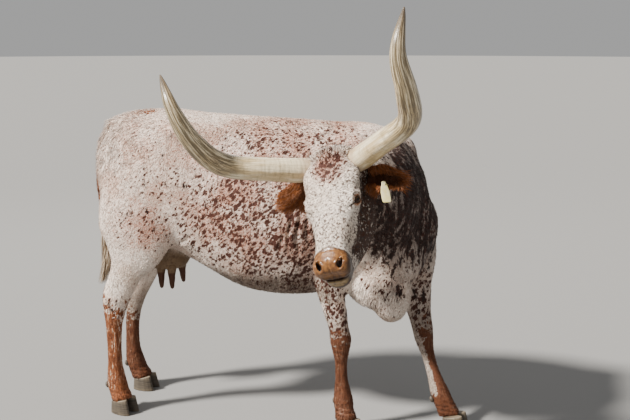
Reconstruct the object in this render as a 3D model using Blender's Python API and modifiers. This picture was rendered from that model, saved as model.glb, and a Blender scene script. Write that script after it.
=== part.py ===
"""A texas longhorn cow at life size, standing with her head turned to her right.

Metres, +Z up, the spine along X with the tail towards -X. The body is drawn as
overlapping closed masses, fused by a voxel remesh and then parted into the
anatomical pieces by thin local cuts.
"""

import math
import random

import bmesh
import bpy
import numpy as np
from mathutils import Matrix, Vector

# Resolution of the fused skin
BODY_VOXEL = 0.009
HEAD_VOXEL = 0.0055
BODY_TRIANGLES = 4850
HEAD_TRIANGLES = 3900
GAP = 0.0003

# Middle of the bounding box before it is moved over the origin
MIDDLE = (0.070, -0.193)

# Spine seen from above: start, heading at the rump, heading at the chest, where the bend runs
SPINE_START = (-0.76, -0.01)
SPINE_HEADINGS = (8.0, -30.0)
SPINE_BEND = (0.8, 1.5)

# Trunk stations: distance along the spine, top, bottom, half width, height of the widest
# level, roundness of the upper half, roundness of the lower half
TRUNK = (
    (0.00, 1.190, 1.00, 0.090, 1.10, 2.2, 2.0),
    (0.05, 1.275, 0.90, 0.150, 1.08, 2.3, 2.0),
    (0.15, 1.350, 0.82, 0.205, 1.06, 2.3, 2.0),
    (0.30, 1.385, 0.76, 0.245, 1.03, 2.3, 2.0),
    (0.40, 1.385, 0.72, 0.250, 0.98, 2.3, 2.1),
    (0.52, 1.372, 0.66, 0.262, 0.92, 2.0, 2.2),
    (0.66, 1.364, 0.590, 0.300, 0.89, 2.0, 2.2),
    (0.80, 1.358, 0.562, 0.325, 0.89, 2.0, 2.2),
    (0.95, 1.350, 0.562, 0.325, 0.90, 1.9, 2.2),
    (1.10, 1.345, 0.585, 0.290, 0.92, 1.9, 2.1),
    (1.25, 1.348, 0.625, 0.230, 0.95, 1.9, 2.0),
    (1.38, 1.300, 0.615, 0.195, 0.93, 1.9, 2.0),
    (1.50, 1.130, 0.680, 0.130, 0.91, 2.0, 2.0),
)

# Muscle and bone masses on the trunk: distance, offset to the left, height, half sizes along
# the spine, across and upwards, tilt in degrees (nose up), and whether it is on both sides
TRUNK_MASSES = (
    (0.40, 0.158, 1.298, 0.085, 0.052, 0.048, 20.0, True),
    (0.070, 0.092, 1.185, 0.060, 0.045, 0.055, 0.0, True),
    (0.22, 0.000, 1.335, 0.220, 0.070, 0.050, 8.0, False),
    (0.56, 0.095, 1.290, 0.200, 0.090, 0.060, 0.0, True),
    (0.27, 0.150, 1.040, 0.170, 0.100, 0.210, -15.0, True),
    (0.13, 0.125, 1.000, 0.095, 0.080, 0.180, 0.0, True),
    (1.20, 0.045, 1.265, 0.140, 0.050, 0.075, 0.0, True),
    (1.25, 0.145, 1.080, 0.130, 0.080, 0.240, -28.0, True),
    (1.36, -0.165, 0.930, 0.100, 0.085, 0.140, 0.0, False),
    (1.22, 0.160, 0.870, 0.140, 0.085, 0.160, 25.0, True),
)
# Masses placed in the world, the brisket's two and the forward left shoulder's two: x, y, z,
# half sizes and turn about Z in degrees
CHEST_MASSES = (
    (0.595, -0.020, 0.632, 0.120, 0.085, 0.143, -50.0),
    (0.520, -0.010, 0.655, 0.155, 0.105, 0.110, -30.0),
    (0.640, 0.160, 0.890, 0.145, 0.090, 0.175, -12.0),
    (0.600, 0.140, 1.070, 0.130, 0.085, 0.150, -12.0),
)

# Legs: x, y, z of the middle and the half sizes fore and aft and across, from the top down
FORE_RIGHT = (
    (0.385, -0.060, 0.880, 0.100, 0.060),
    (0.352, -0.075, 0.780, 0.088, 0.058),
    (0.345, -0.085, 0.690, 0.076, 0.055),
    (0.348, -0.085, 0.620, 0.066, 0.051),
    (0.366, -0.085, 0.550, 0.058, 0.046),
    (0.384, -0.083, 0.465, 0.049, 0.041),
    (0.392, -0.082, 0.413, 0.053, 0.046),
    (0.394, -0.081, 0.365, 0.043, 0.042),
    (0.394, -0.080, 0.310, 0.031, 0.032),
    (0.396, -0.079, 0.240, 0.030, 0.030),
    (0.400, -0.079, 0.182, 0.038, 0.036),
    (0.405, -0.080, 0.138, 0.046, 0.043),
    (0.412, -0.090, 0.098, 0.042, 0.044),
    (0.424, -0.104, 0.062, 0.049, 0.053),
    (0.430, -0.110, 0.030, 0.050, 0.054),
)
FORE_LEFT = (
    (0.565, 0.180, 0.920, 0.130, 0.070),
    (0.612, 0.212, 0.820, 0.146, 0.072),
    (0.640, 0.224, 0.720, 0.128, 0.066),
    (0.655, 0.222, 0.610, 0.090, 0.055),
    (0.682, 0.205, 0.491, 0.061, 0.045),
    (0.705, 0.182, 0.410, 0.052, 0.046),
    (0.716, 0.165, 0.367, 0.047, 0.043),
    (0.737, 0.146, 0.310, 0.034, 0.033),
    (0.756, 0.128, 0.260, 0.031, 0.031),
    (0.780, 0.106, 0.204, 0.035, 0.034),
    (0.803, 0.092, 0.150, 0.044, 0.043),
    (0.820, 0.084, 0.118, 0.043, 0.043),
    (0.836, 0.078, 0.088, 0.044, 0.047),
    (0.852, 0.074, 0.055, 0.048, 0.053),
    (0.858, 0.072, 0.030, 0.049, 0.054),
)
HIND_RIGHT = (
    (-0.520, -0.120, 1.120, 0.160, 0.070),
    (-0.520, -0.140, 0.980, 0.190, 0.090),
    (-0.530, -0.158, 0.880, 0.184, 0.086),
    (-0.530, -0.164, 0.815, 0.172, 0.078),
    (-0.545, -0.164, 0.750, 0.138, 0.068),
    (-0.580, -0.160, 0.668, 0.084, 0.054),
    (-0.618, -0.156, 0.590, 0.076, 0.046),
    (-0.643, -0.152, 0.528, 0.068, 0.043),
    (-0.652, -0.150, 0.470, 0.056, 0.042),
    (-0.656, -0.150, 0.400, 0.043, 0.037),
    (-0.658, -0.150, 0.320, 0.038, 0.033),
    (-0.658, -0.150, 0.240, 0.036, 0.033),
    (-0.656, -0.150, 0.180, 0.041, 0.038),
    (-0.652, -0.150, 0.138, 0.048, 0.044),
    (-0.640, -0.152, 0.098, 0.044, 0.045),
    (-0.626, -0.154, 0.062, 0.049, 0.053),
    (-0.620, -0.156, 0.030, 0.050, 0.054),
)
HIND_LEFT = (
    (-0.520, 0.100, 1.120, 0.160, 0.070),
    (-0.520, 0.125, 0.980, 0.190, 0.090),
    (-0.535, 0.155, 0.880, 0.176, 0.086),
    (-0.545, 0.165, 0.815, 0.156, 0.078),
    (-0.570, 0.165, 0.750, 0.124, 0.068),
    (-0.612, 0.160, 0.668, 0.084, 0.054),
    (-0.650, 0.156, 0.590, 0.074, 0.046),
    (-0.678, 0.152, 0.528, 0.068, 0.043),
    (-0.694, 0.150, 0.470, 0.056, 0.042),
    (-0.706, 0.150, 0.400, 0.043, 0.037),
    (-0.716, 0.150, 0.320, 0.038, 0.033),
    (-0.718, 0.150, 0.240, 0.036, 0.033),
    (-0.714, 0.150, 0.180, 0.041, 0.038),
    (-0.706, 0.150, 0.138, 0.048, 0.044),
    (-0.690, 0.150, 0.098, 0.044, 0.045),
    (-0.672, 0.150, 0.062, 0.049, 0.053),
    (-0.665, 0.150, 0.030, 0.050, 0.054),
)
# Points of the hocks and of the elbows: place and half sizes
JOINT_MASSES = (
    (-0.690, -0.150, 0.548, 0.024, 0.022, 0.050),
    (-0.724, 0.150, 0.548, 0.024, 0.022, 0.050),
    (0.296, -0.088, 0.775, 0.050, 0.040, 0.055),
    (0.515, 0.225, 0.800, 0.050, 0.040, 0.055),
)

# Feet: middle of the sole, heading in degrees
FEET = {
    "fore_right": (0.440, -0.118, -50.0),
    "fore_left": (0.880, 0.072, -8.0),
    "hind_right": (-0.612, -0.156, -14.0),
    "hind_left": (-0.650, 0.150, -2.0),
}
CLAW_LENGTH = 0.112
CLAW_WIDTH = 0.050
CLAW_SPLAY = 5.0
CORONET_FRONT = 0.078
CORONET_HEEL = 0.052

# Neck: x, y, z of the middle, half height and half width, from the chest to the poll
NECK = (
    (0.430, 0.110, 1.020, 0.270, 0.150),
    (0.560, 0.030, 1.030, 0.245, 0.135),
    (0.615, -0.080, 1.050, 0.215, 0.115),
    (0.600, -0.200, 1.085, 0.180, 0.100),
    (0.545, -0.300, 1.125, 0.150, 0.090),
    (0.490, -0.375, 1.155, 0.125, 0.080),
    (0.455, -0.430, 1.170, 0.100, 0.070),
)
# Loose skin under the throat and neck, down to the brisket: x, y, z, half height, half width
DEWLAP = (
    (0.500, -0.320, 1.060, 0.050, 0.020),
    (0.560, -0.250, 0.975, 0.060, 0.022),
    (0.610, -0.150, 0.880, 0.075, 0.026),
    (0.640, -0.060, 0.770, 0.090, 0.032),
    (0.630, 0.010, 0.670, 0.090, 0.040),
    (0.590, 0.040, 0.620, 0.080, 0.045),
)

# Head frame: the poll, heading, slope of the face below level, roll, scale
POLL = (0.4396, -0.4606, 1.2805)
HEAD_HEADING = -91.7
FACE_SLOPE = 48.0
HEAD_ROLL = 14.5
HEAD_SCALE = 1.031

# Skull and upper muzzle: distance down the face, front level, back level, half width, level of
# the widest, roundness in front, roundness behind
SKULL = (
    (-0.020, -0.030, -0.120, 0.060, -0.060, 2.4, 2.0),
    (0.010, -0.005, -0.165, 0.088, -0.060, 2.8, 2.0),
    (0.060, 0.002, -0.185, 0.098, -0.065, 3.0, 2.0),
    (0.120, 0.003, -0.190, 0.098, -0.065, 3.0, 2.0),
    (0.200, 0.002, -0.170, 0.094, -0.060, 3.0, 2.0),
    (0.270, -0.001, -0.155, 0.084, -0.074, 2.6, 2.0),
    (0.340, -0.004, -0.130, 0.068, -0.072, 2.5, 2.2),
    (0.400, -0.006, -0.108, 0.061, -0.066, 2.5, 2.6),
    (0.440, -0.010, -0.096, 0.068, -0.062, 2.6, 2.8),
    (0.470, -0.020, -0.088, 0.070, -0.060, 2.6, 2.8),
    (0.490, -0.036, -0.082, 0.060, -0.062, 2.5, 2.6),
)
JAW = (
    (0.060, -0.110, -0.235, 0.070, -0.170, 2.2, 2.2),
    (0.120, -0.100, -0.270, 0.096, -0.195, 2.4, 2.4),
    (0.180, -0.095, -0.284, 0.101, -0.205, 2.4, 2.4),
    (0.240, -0.090, -0.284, 0.097, -0.200, 2.4, 2.3),
    (0.310, -0.085, -0.256, 0.083, -0.175, 2.3, 2.2),
    (0.380, -0.085, -0.212, 0.068, -0.145, 2.2, 2.2),
    (0.440, -0.078, -0.164, 0.054, -0.120, 2.3, 2.2),
    (0.480, -0.076, -0.150, 0.046, -0.114, 2.3, 2.2),
    (0.500, -0.082, -0.140, 0.032, -0.112, 2.1, 2.0),
)
# Head masses: across, down the face, out of the face, their half sizes, and both sides or not
HEAD_MASSES = (
    (0.073, 0.200, -0.045, 0.034, 0.064, 0.043, True),
    (0.072, 0.175, -0.185, 0.038, 0.100, 0.085, True),
    (0.092, 0.030, -0.052, 0.038, 0.046, 0.046, True),
    (0.000, 0.004, -0.024, 0.085, 0.036, 0.032, False),
    (0.043, 0.455, -0.050, 0.028, 0.034, 0.030, True),
    (0.038, 0.462, -0.070, 0.027, 0.032, 0.017, True),
    (0.056, 0.280, -0.100, 0.026, 0.085, 0.050, True),
    (0.060, 0.100, -0.030, 0.050, 0.090, 0.034, True),
    (0.000, 0.450, -0.046, 0.060, 0.040, 0.038, False),
)
EYE_CENTRE = (0.0870, 0.211, -0.045)
EYE_RADIUS = 0.0195
EYE_GAZE = (0.82, 0.14, 0.56)
EYE_OPENING = (0.0205, 0.0115)
EYE_SLANT = 34.0
# Nostrils: middle, half sizes across, down and out, turn in degrees
NOSTRIL = (0.040, 0.466, -0.024)
NOSTRIL_SIZES = (0.010, 0.019, 0.022)
NOSTRIL_TURN = 35.0
# Line of the mouth: down the face and level at its corner and at the front, height, depth
MOUTH_LINE = ((0.372, -0.098), (0.440, -0.092), (0.520, -0.082))
MOUTH_HEIGHT = 0.003

# Horns: across, down the face and out of the face, from the skull to the tip
HORN_PATH = (
    (0.070, 0.018, -0.070),
    (0.108, 0.031, -0.046),
    (0.237, 0.067, 0.062),
    (0.372, 0.070, 0.149),
    (0.415, 0.060, 0.290),
    (0.432, 0.004, 0.424),
    (0.475, -0.136, 0.480),
)
# Turn of the pair against the skull, then share of the length and radius
HORN_TURN = -2.0
HORN_RADII = (
    (0.00, 0.046),
    (0.10, 0.047),
    (0.25, 0.044),
    (0.45, 0.043),
    (0.60, 0.040),
    (0.75, 0.032),
    (0.88, 0.021),
    (0.96, 0.0105),
    (1.00, 0.003),
)

# Ears in the head frame: root, direction, and the way that the cup faces
EAR_ROOT = (0.098, 0.060, -0.105)
EAR_AXES = {"left": (0.88, 0.40, 0.10), "right": (0.92, 0.20, -0.10)}
EAR_FACING = (0.10, 0.45, 0.90)
EAR_LENGTH = 0.168
EAR_WIDTH = 0.100
EAR_VOXEL = 0.0022
EAR_TRIANGLES = 520

# Tag in the left ear: share of the ear's length, pin's distance below the middle line and depth
# of the ear's back there, plate half sizes, turn and lean of the plate, middle of the plate below
# the pin, length of the pin and its radius
TAG_PLACE = 0.62
TAG_LOWER = 0.026
TAG_HOLLOW = 0.0105
TAG_PLATE = (0.0012, 0.017, 0.042)
TAG_TURN = 48.0
TAG_LEAN = 24.0
TAG_DROP = 0.033
TAG_PROUD = 0.034
TAG_PIN = 0.0035

# Tail: x, y, z, half thickness fore and aft and across; the first rows are its bony root
TAIL_ROOT = (
    (-0.520, 0.000, 1.335, 0.045, 0.050),
    (-0.600, 0.000, 1.338, 0.040, 0.042),
    (-0.655, 0.000, 1.325, 0.036, 0.036),
    (-0.700, 0.000, 1.290, 0.030, 0.030),
)
TAIL = (
    (-0.640, 0.000, 1.332, 0.030, 0.032),
    (-0.700, 0.000, 1.300, 0.028, 0.029),
    (-0.745, 0.000, 1.240, 0.025, 0.026),
    (-0.770, 0.000, 1.160, 0.022, 0.023),
    (-0.778, 0.000, 1.060, 0.020, 0.021),
    (-0.772, 0.000, 0.960, 0.018, 0.019),
    (-0.760, 0.000, 0.880, 0.017, 0.018),
)
# The hair of the switch: how far it reaches, locks, widths and the seed of their draws
SWITCH_CORE = (
    (-0.760, 0.000, 0.880, 0.017, 0.018),
    (-0.752, 0.000, 0.830, 0.017, 0.018),
    (-0.750, 0.000, 0.780, 0.014, 0.015),
    (-0.752, 0.000, 0.730, 0.009, 0.010),
)
SWITCH_FALL = (
    (-0.760, 0.000, 0.880),
    (-0.750, 0.000, 0.800),
    (-0.750, 0.000, 0.720),
    (-0.762, 0.000, 0.640),
    (-0.780, 0.000, 0.560),
)
SWITCH_LOCKS = 13
SWITCH_SEED = 7
LOCK_WIDTH = 0.017
LOCK_THICKNESS = 0.007
LOCK_SPREAD = 0.024

# Udder and teats
UDDER = (-0.450, 0.000, 0.725, 0.110, 0.105, 0.095)
TEATS = ((-0.500, -0.055), (-0.500, 0.055), (-0.410, -0.052), (-0.410, 0.052))
TEAT_LENGTH = 0.065
TEAT_RADIUS = 0.011
UDDER_TRIANGLES = 700

# Cuts between the pieces: middle, forward way, upward way, half sizes
NECK_CUT = ((0.640, -0.525, 1.05), (0.05, -1.0, 0.0), (0, 0, 1), (0.350, 0.300, 0.47))
LEG_CUTS = {
    "fore_right": ((0.345, -0.105, 0.295), (1, 0, 0), (0, 0, 1), (0.135, 0.105, 0.325)),
    "fore_left": ((0.720, 0.200, 0.290), (1, 0, 0), (0, 0, 1), (0.240, 0.150, 0.320)),
    "hind_right": ((-0.600, -0.200, 0.345), (1, 0, 0), (0, 0, 1), (0.240, 0.150, 0.375)),
    "hind_left": ((-0.600, 0.200, 0.345), (1, 0, 0), (0, 0, 1), (0.240, 0.150, 0.375)),
}
# The head's cut in the head's frame: a point, and the way towards the face
HEAD_CUT = ((0.0, -0.045, -0.105), (0.0, 0.757, 0.654))
DEWCLAWS = {"height": 0.125, "back": 0.042, "apart": 0.022, "sizes": (0.010, 0.012, 0.016)}
DEWCLAW_TILT = -25.0

RING = 28
SHARP_ANGLE = 50.0
GOLDEN_TURN = math.pi * (3 - math.sqrt(5))


def clear_scene():
    """Removes every object of the scene that Blender starts with."""
    for obj in list(bpy.data.objects):
        bpy.data.objects.remove(obj, do_unlink=True)


def collection(name, hidden):
    """A collection of the scene; a hidden one holds helpers."""
    made = bpy.data.collections.new(name)
    bpy.context.scene.collection.children.link(made)
    made.hide_render = hidden
    return made


def material(name, colour, roughness=0.7):
    """A Principled material of one colour."""
    made = bpy.data.materials.new(name)
    made.use_nodes = True
    shader = made.node_tree.nodes["Principled BSDF"]
    shader.inputs["Base Color"].default_value = (*colour, 1.0)
    shader.inputs["Roughness"].default_value = roughness
    made.diffuse_color = (*colour, 1.0)
    return made


def mesh_object(name, points, faces, where):
    """An object from points and faces, its faces turned outwards."""
    mesh = bpy.data.meshes.new(name)
    mesh.from_pydata([tuple(map(float, p)) for p in points], [], faces)
    mesh.validate()
    edit = bmesh.new()
    edit.from_mesh(mesh)
    bmesh.ops.recalc_face_normals(edit, faces=edit.faces)
    edit.to_mesh(mesh)
    edit.free()
    obj = bpy.data.objects.new(name, mesh)
    where.objects.link(obj)
    return obj


def loft(name, rings, where):
    """A closed surface through rings of equal count, with a fan over each end."""
    rings = np.asarray(rings, float)
    count, around = rings.shape[:2]
    points = list(rings.reshape(-1, 3)) + [rings[0].mean(axis=0), rings[-1].mean(axis=0)]
    faces = []
    for i in range(count - 1):
        for j in range(around):
            k = (j + 1) % around
            a, b = i * around, (i + 1) * around
            faces.append((a + j, a + k, b + k, b + j))
    first, last = count * around, count * around + 1
    base = (count - 1) * around
    for j in range(around):
        k = (j + 1) % around
        faces.append((first, k, j))
        faces.append((last, base + j, base + k))
    return mesh_object(name, points, faces, where)


def spline(rows, count):
    """Points at equal steps of index on a Catmull-Rom curve through the rows."""
    rows = np.asarray(rows, float)
    rows = np.vstack([2 * rows[0] - rows[1], rows, 2 * rows[-1] - rows[-2]])
    out = []
    for place in np.linspace(0, len(rows) - 3, count):
        i = min(int(place), len(rows) - 4)
        t = place - i
        a, b, c, d = rows[i : i + 4]
        curved = (2 * a - 5 * b + 4 * c - d) * t**2 + (3 * b - a - 3 * c + d) * t**3
        out.append(0.5 * (2 * b + (c - a) * t + curved))
    return np.array(out)


def unit(vector):
    """The vector at length 1."""
    vector = np.asarray(vector, float)
    return vector / np.linalg.norm(vector)


def oval(high, low, half, wide, round_high, round_low, around=RING):
    """Points (across, level) of a section with its own roundness above and below its widest level."""
    out = []
    for angle in np.linspace(0, 2 * math.pi, around, endpoint=False):
        c, s = math.cos(angle), math.sin(angle)
        n = round_high if s >= 0 else round_low
        across = half * math.copysign(abs(c) ** (2 / n), c)
        rise = abs(s) ** (2 / n)
        level = wide + (high - wide) * rise if s >= 0 else wide - (wide - low) * rise
        out.append((across, level))
    return out


def spine(distance):
    """(x, y, heading) of the spine at a distance from the rump, seen from above."""
    steps = max(2, int(abs(distance) / 0.01) + 1)
    at = np.linspace(0, distance, steps)
    start, end = SPINE_BEND
    t = np.clip((at - start) / (end - start), 0, 1)
    heading = np.radians(SPINE_HEADINGS[0] + (SPINE_HEADINGS[1] - SPINE_HEADINGS[0]) * t * t * (3 - 2 * t))
    step = np.diff(at)
    middle = (heading[1:] + heading[:-1]) / 2
    x = SPINE_START[0] + float((np.cos(middle) * step).sum())
    y = SPINE_START[1] + float((np.sin(middle) * step).sum())
    return x, y, float(heading[-1])


def on_trunk(distance, left, height):
    """World point from a distance along the spine, an offset to the left and a height."""
    x, y, heading = spine(distance)
    return np.array([x - left * math.sin(heading), y + left * math.cos(heading), height])


def trunk(where):
    """The barrel of the body from the rump to the chest."""
    rings = []
    for s, top, bottom, half, wide, upper, lower in spline(TRUNK, 44):
        section = oval(top, bottom, half, wide, upper, lower, 36)
        rings.append([on_trunk(s, across, level) for across, level in section])
    return loft("trunk", rings, where)


def ellipsoid(name, centre, sizes, turn, where):
    """A ball stretched to three half sizes and turned by a matrix."""
    edit = bmesh.new()
    bmesh.ops.create_icosphere(edit, subdivisions=3, radius=1.0)
    mesh = bpy.data.meshes.new(name)
    edit.to_mesh(mesh)
    edit.free()
    mesh.transform(Matrix.Translation(Vector(centre)) @ turn.to_4x4() @ Matrix.Diagonal((*sizes, 1.0)))
    if turn.determinant() < 0:
        mesh.flip_normals()
    obj = bpy.data.objects.new(name, mesh)
    where.objects.link(obj)
    return obj


def trunk_masses(where):
    """Hips, thighs, shoulders and the other forms that stand out of the barrel."""
    made = []
    for n, (s, left, height, along, across, up, tilt, both) in enumerate(TRUNK_MASSES):
        for side in (1, -1) if both else (1,):
            heading = spine(s)[2]
            turn = Matrix.Rotation(heading, 3, "Z") @ Matrix.Rotation(math.radians(-tilt), 3, "Y")
            place = on_trunk(s, side * left, height)
            made.append(ellipsoid(f"mass_{n}_{side}", place, (along, across, up), turn, where))
    return made


def tube(name, rows, side, where, count=40, around=RING):
    """A loft along a path of rows (x, y, z, half size in the upright plane, half size sideways).

    Without a sideways direction the sections keep level as the path turns.
    """
    rows = spline(rows, count)
    rings = []
    for i, row in enumerate(rows):
        ahead = rows[min(i + 1, count - 1), :3] - rows[max(i - 1, 0), :3]
        ahead = unit(ahead)
        beside = np.cross((0, 0, 1), ahead) if side is None else np.asarray(side)
        across = unit(beside - ahead * np.dot(beside, ahead))
        front = np.cross(across, ahead)
        ring = []
        for angle in np.linspace(0, 2 * math.pi, around, endpoint=False):
            ring.append(row[:3] + front * row[3] * math.cos(angle) + across * row[4] * math.sin(angle))
        rings.append(ring)
    return loft(name, rings, where)


def lock(name, path, facing, width, thickness, where):
    """One flat tapered lock of hair: a four-sided ribbon along a path, broadest near its root."""
    rings = []
    for i, point in enumerate(path):
        share = i / (len(path) - 1)
        ahead = unit(path[min(i + 1, len(path) - 1)] - path[max(i - 1, 0)])
        across = unit(np.cross(ahead, facing))
        over = np.cross(across, ahead)
        full = (1 - share) ** 0.7 * min(1.0, 0.7 + 2 * share) + 0.06
        half = (0.5 * width * full, 0.5 * thickness * full)
        wide, thick = across * half[0], over * half[1]
        rings.append([point + wide, point + thick, point - wide, point - thick])
    return loft(name, rings, where)


def switch(where):
    """The tail's tuft: a short core and the locks that hang from it, joined."""
    draw = random.Random(SWITCH_SEED)
    hair = collection("Switch_hair", True)
    core = tube("tail_switch", SWITCH_CORE, (0.0, 1.0, 0.0), where, 10, 10)
    fall = spline(SWITCH_FALL, 41)
    for n in range(SWITCH_LOCKS):
        turn = n * GOLDEN_TURN
        outward = np.array([math.cos(turn), math.sin(turn), 0.0])
        first = 0.03 + 0.40 * n / SWITCH_LOCKS
        last = min(1.0, first + draw.uniform(0.50, 0.68))
        spread = LOCK_SPREAD * draw.uniform(0.5, 1.0)
        path = []
        for share in np.linspace(0, 1, 6):
            point = fall[int(round(40 * (first + (last - first) * share)))]
            lean = 0.006 + spread * math.sin(math.pi * min(1.0, 0.12 + share * 0.75))
            path.append(point + outward * lean)
        width = LOCK_WIDTH * draw.uniform(0.8, 1.15)
        lock(f"switch_lock_{n}", path, outward, width, LOCK_THICKNESS, hair)
    step = core.modifiers.new("Join", "BOOLEAN")
    step.operation = "UNION"
    step.operand_type = "COLLECTION"
    step.collection = hair
    step.solver = "MANIFOLD"
    made = largest(evaluated_copy(core, "tail_switch", where))
    for obj in list(hair.objects):
        bpy.data.objects.remove(obj, do_unlink=True)
    bpy.data.collections.remove(hair)
    return made


def head_axes(turn=0.0):
    """The head's own axes: to its left, down its face and out of its face."""
    heading = math.radians(HEAD_HEADING + turn)
    slope = math.radians(FACE_SLOPE)
    roll = math.radians(HEAD_ROLL)
    ahead = np.array([math.cos(heading), math.sin(heading), 0.0])
    left = np.array([-math.sin(heading), math.cos(heading), 0.0])
    up = np.array([0.0, 0.0, 1.0])
    across = left * math.cos(roll) + up * math.sin(roll)
    over = up * math.cos(roll) - left * math.sin(roll)
    down = math.cos(slope) * ahead - math.sin(slope) * over
    out = math.sin(slope) * ahead + math.cos(slope) * over
    return across, down, out


def on_head(place, scale=HEAD_SCALE, turn=0.0):
    """World point from a place in the head's frame."""
    across, down, out = head_axes(turn)
    u, v, w = np.asarray(place, float) * scale
    return np.asarray(POLL) + across * u + down * v + out * w


def head_turn():
    """Matrix from the head's frame to the world."""
    return Matrix(np.array(head_axes()).T.tolist())


def head_loft(name, stations, where):
    """A loft down the face through sections in the head's frame."""
    rings = []
    for v, high, low, half, wide, front, back in spline(stations, 40):
        section = oval(high, low, half, wide, front, back, 36)
        rings.append([on_head((across, v, level)) for across, level in section])
    return loft(name, rings, where)


def head_masses(where):
    """Brow, cheeks, horn seats, nose wings, lips and chin."""
    made = []
    for n, (u, v, w, across, down, out, both) in enumerate(HEAD_MASSES):
        for side in (1, -1) if both else (1,):
            sizes = [x * HEAD_SCALE for x in (across, down, out)]
            place = on_head((side * u, v, w))
            made.append(ellipsoid(f"head_mass_{n}_{side}", place, sizes, head_turn(), where))
    return made


def evaluated_copy(obj, name, where):
    """An object with the mesh that the modifiers of another give."""
    bpy.context.view_layer.update()
    graph = bpy.context.evaluated_depsgraph_get()
    mesh = bpy.data.meshes.new_from_object(obj.evaluated_get(graph))
    mesh.name = name
    made = bpy.data.objects.new(name, mesh)
    where.objects.link(made)
    return made


def joined(name, objects, where):
    """One object that holds the meshes of several."""
    edit = bmesh.new()
    for obj in objects:
        edit.from_mesh(obj.data)
    mesh = bpy.data.meshes.new(name)
    edit.to_mesh(mesh)
    edit.free()
    made = bpy.data.objects.new(name, mesh)
    where.objects.link(made)
    return made


def largest(obj):
    """Keeps only the largest connected surface of an object's mesh."""
    edit = bmesh.new()
    edit.from_mesh(obj.data)
    left = set(edit.verts)
    best = set()
    while left:
        seed = left.pop()
        group = {seed}
        front = [seed]
        while front:
            vertex = front.pop()
            for edge in vertex.link_edges:
                other = edge.other_vert(vertex)
                if other not in group:
                    group.add(other)
                    front.append(other)
        left -= group
        if len(group) > len(best):
            best = group
    bmesh.ops.delete(edit, geom=[v for v in edit.verts if v not in best], context="VERTS")
    edit.to_mesh(obj.data)
    edit.free()
    return obj


def surface_weights(obj, weight):
    """Gives each point of a mesh a weight from its place in the world."""
    group = obj.vertex_groups.new(name="softness")
    for vertex in obj.data.vertices:
        group.add([vertex.index], weight(vertex.co), "REPLACE")
    return group.name


def fused(name, objects, voxel, smoothing, triangles, where, soft=None):
    """The masses made into one skin: remeshed, smoothed and thinned to a number of triangles.

    The smoothing is (steps everywhere, steps where the softness is full).
    """
    whole = joined(name + "_masses", objects, where)
    remesh = whole.modifiers.new("Remesh", "REMESH")
    remesh.mode = "VOXEL"
    remesh.voxel_size = voxel
    dense = largest(evaluated_copy(whole, name + "_dense", where))
    smooth = dense.modifiers.new("Smooth", "SMOOTH")
    smooth.factor = 0.5
    smooth.iterations = smoothing[0]
    if soft:
        blend = dense.modifiers.new("Blend", "SMOOTH")
        blend.factor = 0.5
        blend.iterations = smoothing[1]
        blend.vertex_group = surface_weights(dense, soft)
    count = sum(len(p.vertices) - 2 for p in dense.data.polygons)
    thin = dense.modifiers.new("Decimate", "DECIMATE")
    thin.ratio = min(1.0, triangles / count)
    thin.use_collapse_triangulate = True
    return largest(evaluated_copy(dense, name, where))


def boolean(obj, cutter, operation, name, where, solver="EXACT"):
    """The result of one Boolean between two objects, kept as a mesh of its own."""
    step = obj.modifiers.new("Boolean", "BOOLEAN")
    step.operation = operation
    step.object = cutter
    step.solver = solver
    made = evaluated_copy(obj, name, where)
    obj.modifiers.remove(step)
    return made


def box(name, middle, ahead, up, sizes, where):
    """A box with its own axes, given by its forward and upward ways and its half sizes."""
    ahead = unit(ahead)
    across = unit(np.cross(up, ahead))
    up = np.cross(ahead, across)
    turn = Matrix(np.array([ahead, across, up]).T.tolist()).to_4x4()
    edit = bmesh.new()
    bmesh.ops.create_cube(edit, size=2.0)
    mesh = bpy.data.meshes.new(name)
    edit.to_mesh(mesh)
    edit.free()
    mesh.transform(Matrix.Translation(Vector(middle)) @ turn @ Matrix.Diagonal((*sizes, 1.0)))
    obj = bpy.data.objects.new(name, mesh)
    where.objects.link(obj)
    return obj


def parted(body, name, middle, ahead, up, sizes, where):
    """(piece inside a box, rest outside the box grown by the gap)."""
    tight = box(name + "_box", middle, ahead, up, sizes, where)
    wide = box(name + "_gap", middle, ahead, up, [size + GAP for size in sizes], where)
    inside = largest(boolean(body, tight, "INTERSECT", name, where))
    outside = largest(boolean(body, wide, "DIFFERENCE", body.name, where))
    return inside, outside


def grown(obj, by, where):
    """A copy of an object with its skin moved outwards."""
    swell = obj.modifiers.new("Swell", "DISPLACE")
    swell.strength = by
    swell.mid_level = 0.0
    made = evaluated_copy(obj, obj.name + "_grown", where)
    obj.modifiers.remove(swell)
    return made


def without(obj, others, where, by=GAP):
    """An object less its neighbours, each grown by the gap; only the largest piece is kept.

    A grown skin can cross itself in a crease, which the manifold solver takes.
    """
    for other in others:
        obj = boolean(obj, grown(other, by, where), "DIFFERENCE", obj.name, where, "MANIFOLD")
    return largest(obj)


def foot_axes(foot):
    """(sole middle, forward way, sideways way) of a foot."""
    x, y, heading = FEET[foot]
    turn = math.radians(heading)
    ahead = np.array([math.cos(turn), math.sin(turn), 0.0])
    return np.array([x, y, 0.0]), ahead, np.array([-ahead[1], ahead[0], 0.0])


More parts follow.
